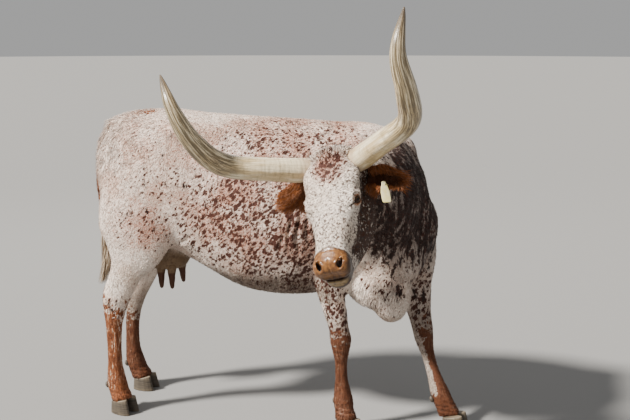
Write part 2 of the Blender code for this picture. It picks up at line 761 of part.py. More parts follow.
def claw(name, foot, side, where):
    """One claw of a foot: flat sole, sloping wall, top at the coronet."""
    sole, foot_ahead, _ = foot_axes(foot)
    turn = math.radians(FEET[foot][2] + side * CLAW_SPLAY)
    ahead = np.array([math.cos(turn), math.sin(turn), 0.0])
    across = np.array([-ahead[1], ahead[0], 0.0])
    middle = sole + across * side * (CLAW_WIDTH / 2 + 0.0025)
    rings = []
    for share in np.linspace(0, 1, 4):
        ring = []
        for angle in np.linspace(0, 2 * math.pi, 14, endpoint=False):
            c, s = math.cos(angle), math.sin(angle)
            along = 0.5 * CLAW_LENGTH * math.copysign(abs(c) ** 0.8, c)
            wide = 0.5 * CLAW_WIDTH * math.copysign(abs(s) ** 0.8, s)
            if along > 0:
                wide *= 1 - 0.45 * (along / (0.5 * CLAW_LENGTH)) ** 2
                along *= 1 - 0.34 * share
            else:
                along *= 1 - 0.06 * share
            if s * side < 0:
                wide *= 0.86
            wide *= 1 - 0.12 * share
            point = middle + ahead * along + across * wide
            place = float(np.dot(point - sole, foot_ahead)) / CLAW_LENGTH + 0.5
            top = CORONET_HEEL + (CORONET_FRONT - CORONET_HEEL) * place
            ring.append(point + np.array([0, 0, top * share]))
        rings.append(ring)
    return loft(name, rings, where)


def coronet_cut(foot, where):
    """A box under the coronet plane of a foot, which takes the leg's lower end away."""
    sole, ahead, _ = foot_axes(foot)
    rise = (CORONET_FRONT - CORONET_HEEL) / CLAW_LENGTH
    ahead = unit(ahead + np.array([0, 0, rise]))
    up = unit(np.cross(ahead, np.cross((0, 0, 1), ahead)))
    depth = 0.15
    level = (CORONET_FRONT + CORONET_HEEL) / 2
    middle = sole + np.array([0, 0, level]) + up * (GAP - depth)
    return box("coronet_" + foot, middle, ahead, up, (0.16, 0.12, depth), where)


def dewclaws(foot, leg, cow):
    """The two small claws behind the fetlock, set into pockets of the leg."""
    sole, ahead, across = foot_axes(foot)
    rows = np.array(leg)
    height = DEWCLAWS["height"]
    order = np.argsort(rows[:, 2])
    middle = np.array([np.interp(height, rows[order, 2], rows[order, k]) for k in (0, 1)] + [height])
    made = []
    for side, word in ((1, "left"), (-1, "right")):
        place = middle - ahead * DEWCLAWS["back"] + across * side * DEWCLAWS["apart"]
        turn = Matrix(np.array([ahead, across, (0, 0, 1)]).T.tolist())
        tilt = turn @ Matrix.Rotation(math.radians(DEWCLAW_TILT), 3, "Y")
        name = f"dewclaw_{foot}_{word}"
        edit = bmesh.new()
        bmesh.ops.create_icosphere(edit, subdivisions=2, radius=1.0)
        mesh = bpy.data.meshes.new(name)
        edit.to_mesh(mesh)
        edit.free()
        sizes = DEWCLAWS["sizes"]
        mesh.transform(Matrix.Translation(Vector(place)) @ tilt.to_4x4() @ Matrix.Diagonal((*sizes, 1.0)))
        obj = bpy.data.objects.new(name, mesh)
        cow.objects.link(obj)
        made.append(obj)
    return made


def side_of(side):
    """+1 on the animal's left and -1 on its right."""
    return 1 if side == "left" else -1


def horn(side, where):
    """One horn, its root sunk in the skull."""
    path = spline([[side_of(side) * p[0], p[1], p[2]] for p in HORN_PATH], 60)
    steps = np.linalg.norm(np.diff(path, axis=0), axis=1)
    share = np.concatenate([[0], np.cumsum(steps)]) / steps.sum()
    radii = np.interp(share, [r[0] for r in HORN_RADII], [r[1] for r in HORN_RADII])
    even = np.interp(np.linspace(0, 1, 28) ** 0.9, share, np.arange(60))
    rows = []
    for place in even:
        i = min(int(place), 58)
        t = place - i
        point = on_head(path[i] * (1 - t) + path[i + 1] * t, 1.0, HORN_TURN)
        radius = radii[i] * (1 - t) + radii[i + 1] * t
        rows.append((*point, radius, radius))
    return tube("horn_" + side, rows, head_axes()[1], where, 28, 12)


def ear_axes(side):
    """(root, way along, way that the cup faces, sideways way) of an ear in the world."""
    sign = side_of(side)
    across, down, out = head_axes()
    axis = EAR_AXES[side]
    ahead = unit(across * axis[0] * sign + down * axis[1] + out * axis[2])
    facing = across * EAR_FACING[0] * sign + down * EAR_FACING[1] + out * EAR_FACING[2]
    facing = unit(facing - ahead * np.dot(facing, ahead))
    root = on_head((sign * EAR_ROOT[0], EAR_ROOT[1], EAR_ROOT[2]))
    return root, ahead, facing, np.cross(ahead, facing)


def ear_middle(side, share):
    """The back of an ear's middle line at a share of its length."""
    root, ahead, facing, _ = ear_axes(side)
    return root + ahead * share * EAR_LENGTH - facing * 0.035 * max(share, 0.0) ** 2


def ear(side, where):
    """One ear: a cupped leaf on a short closed tube."""
    _, _, facing, beside = ear_axes(side)
    rings = []
    for share in np.linspace(-0.20, 1.0, 24):
        t = max(share, 0.0)
        leaf = min(1.0, 0.56 + 1.1 * t) * math.sqrt(1 - t**4)
        half = max(0.004, 0.5 * EAR_WIDTH * leaf)
        bend = 1.30 - 0.45 * t
        wall = 0.005 + 0.006 * (1 - t) ** 3
        cup = min(1.0, max(0.0, share / 0.25))
        middle = ear_middle(side, share)
        ring = []
        for j in range(14):
            a = -bend + 2 * bend * j / 13
            x = half * math.sin(a) / math.sin(bend)
            y = -half * 0.75 * (math.cos(a) - math.cos(bend))
            ring.append(middle + beside * x + facing * y)
        for j in range(14):
            a = bend - 2 * bend * j / 13
            x = half * 0.93 * math.sin(a) / math.sin(bend)
            hollow = -half * 0.75 * (math.cos(a) - math.cos(bend)) + wall
            shut = half * 0.55 * math.cos(a * 1.57 / bend) ** 2 + 0.004
            ring.append(middle + beside * x + facing * (hollow * cup + shut * (1 - cup)))
        rings.append(ring)
    leaf = loft("ear_leaf_" + side, rings, where)
    return fused("ear_" + side, [leaf], EAR_VOXEL, (3, 0), EAR_TRIANGLES, where)


def ear_tag(where):
    """A blank plate with its pin through the left ear and a button behind."""
    _, ahead, facing, beside = ear_axes("left")
    lower = beside if beside[2] < 0 else -beside
    back = ear_middle("left", TAG_PLACE) + lower * TAG_LOWER - facing * TAG_HOLLOW
    front = back + facing * TAG_PROUD
    lean = math.radians(TAG_LEAN)
    hang = lower * math.cos(lean) + ahead * math.sin(lean)
    beyond = unit(ahead - hang * np.dot(ahead, hang))
    turn = math.radians(TAG_TURN)
    outward = facing * math.cos(turn) + beyond * math.sin(turn)
    sizes = (TAG_PLATE[0], TAG_PLATE[2], TAG_PLATE[1])
    plate = box("tag_plate", front + hang * TAG_DROP, outward, np.cross(outward, hang), sizes, where)
    rows = [(*(back - facing * 0.006), TAG_PIN, TAG_PIN), (*(front + facing * 0.0005), TAG_PIN, TAG_PIN)]
    pin = tube("tag_pin", rows, beside, where, 2, 10)
    rows = [(*(back - facing * 0.0075), 0.011, 0.011), (*(back - facing * 0.0050), 0.011, 0.011)]
    button = tube("tag_button", rows, beside, where, 2, 12)
    return plate, pin, button


def udder(where):
    """The bag and its four teats, fused."""
    x, y, z, *sizes = UDDER
    flat = Matrix.Identity(3)
    parts = [ellipsoid("bag", (x, y, z), sizes, flat, where)]
    for n, (tx, ty) in enumerate(TEATS):
        top = z - sizes[2] + 0.03
        rows = [
            (tx, ty, top, 0.020, 0.020),
            (tx, ty, top - 0.03, 0.016, 0.016),
            (tx, ty, top - 0.03 - TEAT_LENGTH * 0.5, TEAT_RADIUS, TEAT_RADIUS),
            (tx, ty, top - 0.03 - TEAT_LENGTH, TEAT_RADIUS * 0.6, TEAT_RADIUS * 0.6),
        ]
        parts.append(tube(f"teat_{n}", rows, (0, 1, 0), where, 10, 14))
    return fused("udder", parts, 0.005, (6, 0), UDDER_TRIANGLES, where)


def eye(side, where):
    """(eyeball, cutter of the opening between the lids)."""
    sign = side_of(side)
    across, down, out = head_axes()
    centre = on_head((sign * EYE_CENTRE[0], EYE_CENTRE[1], EYE_CENTRE[2]))
    gaze = unit(across * EYE_GAZE[0] * sign + down * EYE_GAZE[1] + out * EYE_GAZE[2])
    upright = unit(down - gaze * np.dot(down, gaze))
    inward = np.cross(upright, gaze) * sign
    slant = math.radians(EYE_SLANT)
    long_way = upright * math.cos(slant) + inward * math.sin(slant)
    turn = Matrix(np.array([gaze, long_way, np.cross(gaze, long_way)]).T.tolist())
    radius = EYE_RADIUS
    ball = ellipsoid("eye_" + side, centre, (radius, radius, radius), turn, where)
    length, height = EYE_OPENING
    cutter = ellipsoid("lid_" + side, centre + gaze * radius, (0.022, length, height), turn, where)
    return ball, cutter


def nostril(side, where):
    """A comma-like hollow at one side of the nose."""
    sign = side_of(side)
    place = on_head((sign * NOSTRIL[0], NOSTRIL[1], NOSTRIL[2]))
    turn = head_turn() @ Matrix.Rotation(math.radians(sign * NOSTRIL_TURN), 3, "Y")
    return ellipsoid("nostril_" + side, place, NOSTRIL_SIZES, turn, where)


def mouth_cutter(where):
    """A thin bent slab along the line between the lips."""
    rings = []
    for v, w in spline(MOUTH_LINE, 12):
        ring = []
        for across, level in ((-0.09, 0.5), (0.09, 0.5), (0.09, -0.5), (-0.09, -0.5)):
            ring.append(on_head((across, v, w + level * MOUTH_HEIGHT)))
        rings.append(ring)
    return loft("mouth", rings, where)


def mouth_core(where):
    """What stays whole inside the mouth, so that the line of the lips is a shallow groove."""
    rings = []
    for v, half in ((0.10, 0.030), (0.36, 0.030), (0.44, 0.036), (0.478, 0.028), (0.486, 0.016)):
        section = oval(-0.06, -0.15, half, -0.10, 2.6, 2.6, 20)
        rings.append([on_head((across, v, level)) for across, level in section])
    return loft("mouth_core", rings, where)


def soft_body(point):
    """How far the muscles run into one another at a place: full on the trunk, little on legs and head."""
    place = np.array(point)
    across, down, out = head_axes()
    from_poll = place - np.asarray(POLL)
    face = float(np.dot(from_poll, down * 0.757 + out * 0.654))
    head = min(1.0, max(0.0, (0.02 - face) / 0.16)) if place[1] < -0.2 else 1.0
    height = min(1.0, max(0.0, (place[2] - 0.52) / 0.25))
    return float(0.06 + 0.94 * height * head)


def soft_head(point):
    """The head keeps its forms and the neck behind it is soft."""
    across, down, out = head_axes()
    from_poll = np.array(point) - np.asarray(POLL)
    face = float(np.dot(from_poll, down * 0.757 + out * 0.654))
    return min(1.0, max(0.0, (0.02 - face) / 0.16))


def main():
    """Builds every piece of the cow."""
    clear_scene()
    guides = collection("Guides", True)
    cow = collection("Cow", False)

    coat = material("coat", (0.80, 0.74, 0.68), 0.85)
    flesh = material("bare_skin", (0.50, 0.36, 0.30), 0.6)
    keratin = material("horn", (0.72, 0.66, 0.55), 0.4)
    hoof = material("hoof", (0.32, 0.29, 0.26), 0.55)
    eyeball = material("eye", (0.03, 0.02, 0.02), 0.1)
    hair = material("hair", (0.82, 0.78, 0.72), 0.8)
    plastic = material("tag", (0.85, 0.80, 0.45), 0.5)
    brown = material("ear_coat", (0.35, 0.14, 0.07), 0.85)

    side = (0.0, 1.0, 0.0)
    legs = {
        "fore_right": FORE_RIGHT,
        "fore_left": FORE_LEFT,
        "hind_right": HIND_RIGHT,
        "hind_left": HIND_LEFT,
    }
    masses = [trunk(guides)] + trunk_masses(guides)
    masses += [tube("leg_mass_" + name, rows, side, guides, 60) for name, rows in legs.items()]
    for n, (x, y, z, *sizes) in enumerate(JOINT_MASSES):
        masses.append(ellipsoid(f"joint_{n}", (x, y, z), sizes, Matrix.Identity(3), guides))
    for n, (x, y, z, long, wide, high, turn) in enumerate(CHEST_MASSES):
        spin = Matrix.Rotation(math.radians(turn), 3, "Z")
        masses.append(ellipsoid(f"chest_{n}", (x, y, z), (long, wide, high), spin, guides))
    neck_mass = tube("neck_mass", NECK, None, guides, 40)
    dewlap = tube("dewlap_mass", DEWLAP, None, guides, 30)
    tail_root = tube("tail_mass", TAIL_ROOT, side, guides, 20, 16)
    skull = [head_loft("skull", SKULL, guides), head_loft("jaw", JAW, guides)] + head_masses(guides)
    masses += [neck_mass, dewlap, tail_root] + skull
    head_mass = [neck_mass, dewlap] + skull

    body = fused("torso", masses, BODY_VOXEL, (6, 100), BODY_TRIANGLES, guides, soft_body)
    head = fused("head", head_mass, HEAD_VOXEL, (12, 60), HEAD_TRIANGLES, guides, soft_head)

    # The head's skin in front of the cut, and the body's behind it
    across, down, out = head_axes()
    normal = down * HEAD_CUT[1][1] + out * HEAD_CUT[1][2]
    third = np.cross(normal, across)
    face = on_head(HEAD_CUT[0])
    head_box = box("head_box", face + normal * 0.4, normal, third, (0.4, 0.26, 0.46), guides)
    head_gap = box("head_gap", face + normal * 0.4, normal, third, (0.4 + GAP, 0.26, 0.46), guides)
    head = largest(boolean(head, head_box, "INTERSECT", "head", guides))
    body = largest(boolean(body, head_gap, "DIFFERENCE", "torso", guides))
    neck, body = parted(body, "neck", *NECK_CUT, guides)
    pieces = {}
    for name, rows in legs.items():
        leg, body = parted(body, "leg_" + name, *LEG_CUTS[name], guides)
        leg = largest(boolean(leg, coronet_cut(name, guides), "DIFFERENCE", "leg_" + name, guides))
        claws = dewclaws(name, rows, cow)
        for piece in claws:
            piece.data.materials.append(hoof)
        pieces["leg_" + name] = without(leg, claws, guides)
        for n, word in ((1, "left"), (-1, "right")):
            claw(f"claw_{name}_{word}", name, n, cow).data.materials.append(hoof)

    for word in ("left", "right"):
        horn_piece = horn(word, cow)
        horn_piece.data.materials.append(keratin)
        head = without(head, [horn_piece], guides)
        ear_piece = ear(word, guides)
        pieces["ear_" + word] = without(ear_piece, [horn_piece, head], guides, 3 * GAP)
        ball, opening = eye(word, guides)
        pieces["eye_" + word] = ball
        head = largest(boolean(head, opening, "DIFFERENCE", "head", guides))
        head = without(head, [ball], guides)
        head = largest(boolean(head, nostril(word, guides), "DIFFERENCE", "head", guides))
    lips = boolean(mouth_cutter(guides), mouth_core(guides), "DIFFERENCE", "lip_line", guides)
    head = largest(boolean(head, lips, "DIFFERENCE", "head", guides))
    pieces["head"] = without(head, [pieces["ear_left"], pieces["ear_right"]], guides)
    pieces["neck"] = neck
    pieces["torso"] = body

    tail = tube("tail", TAIL, side, guides, 16, 12)
    pieces["tail"] = without(tail, [body], guides, 3 * GAP)
    pieces["tail_switch"] = without(switch(guides), [pieces["tail"]], guides)
    bag = udder(guides)
    neighbours = [body, pieces["leg_hind_right"], pieces["leg_hind_left"]]
    pieces["udder"] = without(bag, neighbours, guides, 3 * GAP)

    plate, pin, button = ear_tag(guides)
    tag = boolean(plate, pin, "UNION", "ear_tag", guides)
    tag = boolean(tag, button, "UNION", "ear_tag", guides)
    pieces["ear_left"] = without(pieces["ear_left"], [tag], guides)
    pieces["ear_tag"] = tag

    finishes = {
        "udder": flesh,
        "tail_switch": hair,
        "ear_tag": plastic,
        "ear_left": brown,
        "ear_right": brown,
        "eye_left": eyeball,
        "eye_right": eyeball,
    }
    for name, piece in pieces.items():
        guides.objects.unlink(piece)
        cow.objects.link(piece)
        piece.data.materials.clear()
        piece.data.materials.append(finishes.get(name, coat))
    for obj in list(guides.objects):
        bpy.data.objects.remove(obj, do_unlink=True)
    for obj in cow.objects:
        obj.name = obj.name.split(".")[0]
        obj.data.transform(Matrix.Translation((-MIDDLE[0], -MIDDLE[1], 0.0)))
        obj.data.shade_smooth()
        obj.data.set_sharp_from_angle(angle=math.radians(SHARP_ANGLE))


if __name__ == "__main__":
    main()
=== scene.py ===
"""Texas longhorn cow, life size: one skin with its coat, horns, eyes, hooves and ear tag.

Metres, +Z up, the spine along X with the tail towards -X, the head turned towards -Y.
"""

import logging
import math
from collections.abc import Callable
from dataclasses import dataclass
from enum import Enum

import bmesh
import bpy
import numpy as np
from bpy.types import Material, Mesh, NodeSocket, Object
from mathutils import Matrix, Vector


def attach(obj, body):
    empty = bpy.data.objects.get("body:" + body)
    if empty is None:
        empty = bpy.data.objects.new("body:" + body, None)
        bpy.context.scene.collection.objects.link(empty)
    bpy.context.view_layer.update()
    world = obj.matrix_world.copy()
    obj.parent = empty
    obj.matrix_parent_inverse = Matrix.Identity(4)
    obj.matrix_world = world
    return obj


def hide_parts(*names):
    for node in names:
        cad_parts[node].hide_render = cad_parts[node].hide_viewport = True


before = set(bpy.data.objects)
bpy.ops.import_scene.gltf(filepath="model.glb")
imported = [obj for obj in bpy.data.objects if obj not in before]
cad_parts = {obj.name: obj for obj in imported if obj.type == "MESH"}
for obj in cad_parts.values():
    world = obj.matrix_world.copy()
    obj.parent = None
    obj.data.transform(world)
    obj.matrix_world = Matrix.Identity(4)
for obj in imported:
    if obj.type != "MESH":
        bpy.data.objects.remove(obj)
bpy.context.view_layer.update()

LOG = logging.getLogger("longhorn")
BAKE_MAP = "OFBake"
TAU = 2 * math.pi
Array = np.ndarray


# numbers and arrays


def unit(vectors: Array) -> Array:
    """Vectors scaled to length one along the last axis."""
    return vectors / np.maximum(np.linalg.norm(vectors, axis=-1, keepdims=True), 1e-9)


def smooth(value: Array, low: float, high: float) -> Array:
    """Smooth step from 0 at low to 1 at high."""
    t = np.clip((value - low) / (high - low), 0.0, 1.0)
    return t * t * (3 - 2 * t)


def fall(value: Array, low: float, high: float) -> Array:
    """Smooth step from 1 at low to 0 at high."""
    return 1 - smooth(value, low, high)


def band(value: Array, rise: tuple, drop: tuple) -> Array:
    """One between two levels: a smooth rise over the first pair, a fall over the second."""
    return smooth(value, *rise) * fall(value, *drop)


def blend(first: Array | float, second: Array | float, share: Array) -> Array:
    """The first where the share is zero, the second where it is one."""
    return first * (1 - share) + second * share


def ridge(value: Array, width: float) -> Array:
    """Bell curve of a distance, one at zero."""
    return np.exp(-((value / width) ** 2))


def bulge(points: Array, centre: tuple, radii: tuple) -> Array:
    """Smooth mask of an ellipsoid: one at its centre, zero past its surface."""
    reach = np.linalg.norm((points - np.array(centre)) / np.array(radii), axis=1)
    return fall(reach, 0.35, 1.25)


def wave(value: Array, length: float) -> Array:
    """Sine wave with crests a length apart."""
    return np.sin(value * TAU / length)


def full_turn(count: int) -> Array:
    """Angles all the way round, evenly spaced."""
    return np.linspace(0, TAU, count, endpoint=False)


def ripple(points: Array, size: float, seed: int) -> Array:
    """Soft noise: a sum of six sine waves in chance directions.

    Args:
        points: places, n by 3.
        size: usual length of a wave.
        seed: number that fixes the directions.

    Returns:
        Values from about -1 to 1.
    """
    draw = np.random.default_rng(seed)
    total = np.zeros(len(points))
    for _ in range(6):
        way = unit(draw.normal(size=3)) * TAU / (size * draw.uniform(0.6, 1.5))
        total += np.sin(points @ way + draw.uniform(0, 6.28))
    return total / 3.2


def softened(values: Array, rounds: int) -> Array:
    """Values along a line, each drawn to a quarter of both neighbours and half of itself."""
    for _ in range(rounds):
        values[1:-1] = 0.25 * values[:-2] + 0.5 * values[1:-1] + 0.25 * values[2:]
    return values


def spline(rows: list, count: int) -> Array:
    """Smooth curve through rows: cubic pieces whose slope at a row is half the step between its
    neighbours.

    Args:
        rows: places on the curve.
        count: number of points wanted.

    Returns:
        Points at even steps of the rows' own count.
    """
    knots = np.array(rows, float)
    knots = np.vstack([2 * knots[0] - knots[1], knots, 2 * knots[-1] - knots[-2]])
    place = np.linspace(0, len(rows) - 1 - 1e-9, count)
    i = place.astype(int)
    t = (place - i)[:, None]
    a, b, c, d = knots[i], knots[i + 1], knots[i + 2], knots[i + 3]
    curved = (2 * a - 5 * b + 4 * c - d) * t**2 + (3 * b - a - 3 * c + d) * t**3
    return 0.5 * (2 * b + (c - a) * t + curved)


# meshes


def linked(name: str, data: bpy.types.ID | None) -> Object:
    """An object in the scene with the data given."""
    made = bpy.data.objects.new(name, data)
    bpy.context.scene.collection.objects.link(made)
    return made


def pulled(rows: object, field: str, width: int, kind: type = np.float32) -> Array:
    """One field of a mesh's rows, width numbers to a row."""
    found = np.empty(len(rows) * width, kind)
    rows.foreach_get(field, found)
    return found.reshape(-1, width)


def put_mesh(name: str, points: Array, faces: Array) -> Object:
    """An object from whole arrays.

    Args:
        name: name of the piece.
        points: corner places, n by 3.
        faces: corner numbers, all faces with the same number of corners.

    Returns:
        The linked object, shaded smooth.
    """
    mesh = bpy.data.meshes.new(name)
    count, sides = faces.shape
    mesh.vertices.add(len(points))
    mesh.vertices.foreach_set("co", np.ascontiguousarray(points, np.float32).ravel())
    mesh.loops.add(count * sides)
    mesh.loops.foreach_set("vertex_index", np.ascontiguousarray(faces, np.int32).ravel())
    mesh.polygons.add(count)
    mesh.polygons.foreach_set("loop_start", np.arange(0, count * sides, sides, dtype=np.int32))
    mesh.update(calc_edges=True)
    mesh.shade_smooth()
    return linked(name, mesh)


def swept_faces(stations: int, around: int, first: int = 0) -> Array:
    """Triangles of a tube of rings, its two ends closed on a middle point each.

    Args:
        stations: number of rings.
        around: corners of a ring.
        first: number of the first corner.

    Returns:
        Corner numbers, counting the rings in order, then the middles of the first and last ring.
    """
    i = np.arange(stations - 1)[:, None] * around
    ring = np.arange(around)
    turn = (ring + 1) % around
    j, k = ring[None, :], turn[None, :]
    a, b, c, d = (i + j).ravel(), (i + k).ravel(), (i + around + k).ravel(), (i + around + j).ravel()
    last = (stations - 1) * around
    low = np.full(around, stations * around)
    faces = [
        np.stack([a, b, c], 1),
        np.stack([a, c, d], 1),
        np.stack([low, turn, ring], 1),
        np.stack([low + 1, last + ring, last + turn], 1),
    ]
    return np.vstack(faces) + first


def tube(name: str, rings: Array) -> Object:
    """A closed tube over rings, stations by around by 3, with its faces outwards."""
    stations, around = rings.shape[:2]
    points = np.vstack([rings.reshape(-1, 3), rings[0].mean(0), rings[-1].mean(0)])
    return facing_out(put_mesh(name, points, swept_faces(stations, around)))


def rings_about(line: Array, first: Array, second: Array, radius: Array) -> Array:
    """Rings about the points of a line: point + first * r cos a + second * r sin a, with the
    radius r given by point and angle."""
    angle = full_turn(radius.shape[1])[None, :]
    rings = line[:, None, :] + first * (np.cos(angle) * radius)[..., None]
    return rings + second * (np.sin(angle) * radius)[..., None]


def facing_out(obj: Object) -> Object:
    """The object with its faces turned outwards, as its signed volume tells."""
    points, corners = arrays(obj.data)
    a, b, c = points[corners[:, 0]], points[corners[:, 1]], points[corners[:, 2]]
    if np.einsum("ij,ij->i", a, np.cross(b, c)).sum() < 0:
        obj.data.flip_normals()
    return obj


def arrays(mesh: Mesh) -> tuple:
    """Corner places and triangles of a mesh."""
    mesh.calc_loop_triangles()
    return pulled(mesh.vertices, "co", 3).astype(float), pulled(mesh.loop_triangles, "vertices", 3, np.int32)


def set_points(mesh: Mesh, points: Array) -> None:
    """New places for a mesh's corners."""
    mesh.vertices.foreach_set("co", np.ascontiguousarray(points, np.float32).ravel())
    mesh.update()


def normals_of(mesh: Mesh) -> Array:
    """Corner normals of a mesh."""
    return pulled(mesh.vertex_normals, "vector", 3).astype(float)


def set_vectors(mesh: Mesh, name: str, values: Array) -> None:
    """A vector attribute on the corners."""
    layer = mesh.attributes.new(name, "FLOAT_VECTOR", "POINT")
    layer.data.foreach_set("vector", np.ascontiguousarray(values, np.float32).ravel())


def set_map(mesh: Mesh, places: Array) -> None:
    """The map for baking, from one place in it for each corner."""
    index = pulled(mesh.loops, "vertex_index", 1, np.int32)[:, 0]
    layer = mesh.uv_layers.new(name=BAKE_MAP)
    layer.uv.foreach_set("vector", np.ascontiguousarray(places[index], np.float32).ravel())


def set_strands(mesh: Mesh, share: Array, chance: Array) -> None:
    """Place along the strand and its own chance number, for strands of one pattern of corners."""
    each, count = len(share), len(chance)
    values = [np.tile(share, count), np.repeat(chance, each), np.zeros(count * each)]
    set_vectors(mesh, "strand", np.stack(values, 1))


def relaxed(mesh: Mesh, points: Array, rounds: int, share: Array | float = 1.0) -> Array:
    """Points smoothed without shrinking: each round moves a corner half way to the middle of its
    neighbours, then a little more than that back.

    Args:
        mesh: mesh whose edges tell the neighbours.
        points: its corner places.
        rounds: how often.
        share: how far each corner takes part.

    Returns:
        The new places.
    """
    a, b = pulled(mesh.edges, "vertices", 2, np.int32).T
    count = len(points)
    degree = np.maximum(np.bincount(a, minlength=count) + np.bincount(b, minlength=count), 1)[:, None]
    weight = np.asarray(share) * np.ones(count)
    for _ in range(rounds):
        for step in (0.5, -0.52):
            total = [
                np.bincount(a, points[b, k], count) + np.bincount(b, points[a, k], count)
                for k in range(3)
            ]
            points = points + (np.stack(total, 1) / degree - points) * step * weight[:, None]
    return points


def applied(obj: Object) -> Mesh:
    """The mesh of an object with its modifiers applied; they are then cleared."""
    graph = bpy.context.evaluated_depsgraph_get()
    mesh = bpy.data.meshes.new_from_object(obj.evaluated_get(graph))
    obj.modifiers.clear()
    return mesh


def merged_copy(nodes: list, grow: float) -> Object:
    """One object from copies of solids, each merged and grown a little along its normals.

    Args:
        nodes: names of the solids.
        grow: distance that each is grown by, so that neighbours overlap.

    Returns:
        A loose object with all the surfaces.
    """
    whole = bmesh.new()
    for node in nodes:
        part = bmesh.new()
        part.from_mesh(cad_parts[node].data)
        bmesh.ops.remove_doubles(part, verts=part.verts, dist=1e-5)
        part.normal_update()
        for corner in part.verts:
            corner.co += corner.normal * grow
        mesh = bpy.data.meshes.new("part")
        part.to_mesh(mesh)
        part.free()
        whole.from_mesh(mesh)
        bpy.data.meshes.remove(mesh)
    mesh = bpy.data.meshes.new("merged")
    whole.to_mesh(mesh)
    whole.free()
    return linked("merged", mesh)


def remeshed(obj: Object, voxel: float, name: str) -> Object:
    """The voxel remesh of an object, with only its largest surface kept.

    Args:
        obj: the object, which is removed.
        voxel: size of a voxel.
        name: name of the new object.

    Returns:
        The new object.
    """
    modifier = obj.modifiers.new("voxels", "REMESH")
    modifier.mode, modifier.voxel_size = "VOXEL", voxel
    made = linked(name, applied(obj))
    bpy.data.objects.remove(obj)
    work = bmesh.new()
    work.from_mesh(made.data)
    left = set(work.verts)
    groups = []
    while left:
        start = left.pop()
        group, edge = [start], [start]
        while edge:
            corner = edge.pop()
            for link in corner.link_edges:
                other = link.other_vert(corner)
                if other in left:
                    left.discard(other)
                    group.append(other)
                    edge.append(other)
        groups.append(group)
    groups.sort(key=len)
    for group in groups[:-1]:
        bmesh.ops.delete(work, geom=group, context="VERTS")
    work.to_mesh(made.data)
    work.free()
    return made


# shader expressions


def math_method(operation: str, reflected: bool = False) -> Callable[["Signal", object], "Signal"]:
    """A method of Signal that adds a Math node.

    Args:
        operation: what the node does.
        reflected: whether the signal comes second, as in 1 - mask.

    Returns:
        The method, which takes the other value or signal.
    """

    def method(self: "Signal", other: object) -> "Signal":
        """The node's result."""
        return self.math(operation, *((other, self) if reflected else (self, other)))

    return method


class Signal:
    """A socket that takes part in Python expressions; most and least pick the larger and smaller."""

    def __init__(self, graph: "Graph", socket: NodeSocket) -> None:
        """A socket and the graph that it belongs to."""
        self.graph, self.socket = graph, socket

    def math(self, operation: str, first: object, second: object = 0.0) -> "Signal":
        """A Math node's result."""
        return self.graph.node("ShaderNodeMath", {"operation": operation}, {0: first, 1: second})

    __add__, __radd__ = math_method("ADD"), math_method("ADD", True)
    __sub__, __rsub__ = math_method("SUBTRACT"), math_method("SUBTRACT", True)
    __mul__, __rmul__ = math_method("MULTIPLY"), math_method("MULTIPLY", True)
    __truediv__, __rtruediv__ = math_method("DIVIDE"), math_method("DIVIDE", True)
    __pow__, __rpow__ = math_method("POWER"), math_method("POWER", True)
    most, least = math_method("MAXIMUM"), math_method("MINIMUM")

    def exp(self) -> "Signal":
        """The number e to this power."""
        return self.math("EXPONENT", self)

    def step(self, low: float, high: float) -> "Signal":
        """Smooth step from 0 at low to 1 at high."""
        sockets = {"Value": self, "From Min": low, "From Max": high}
        return self.graph.node("ShaderNodeMapRange", {"interpolation_type": "SMOOTHSTEP"}, sockets)


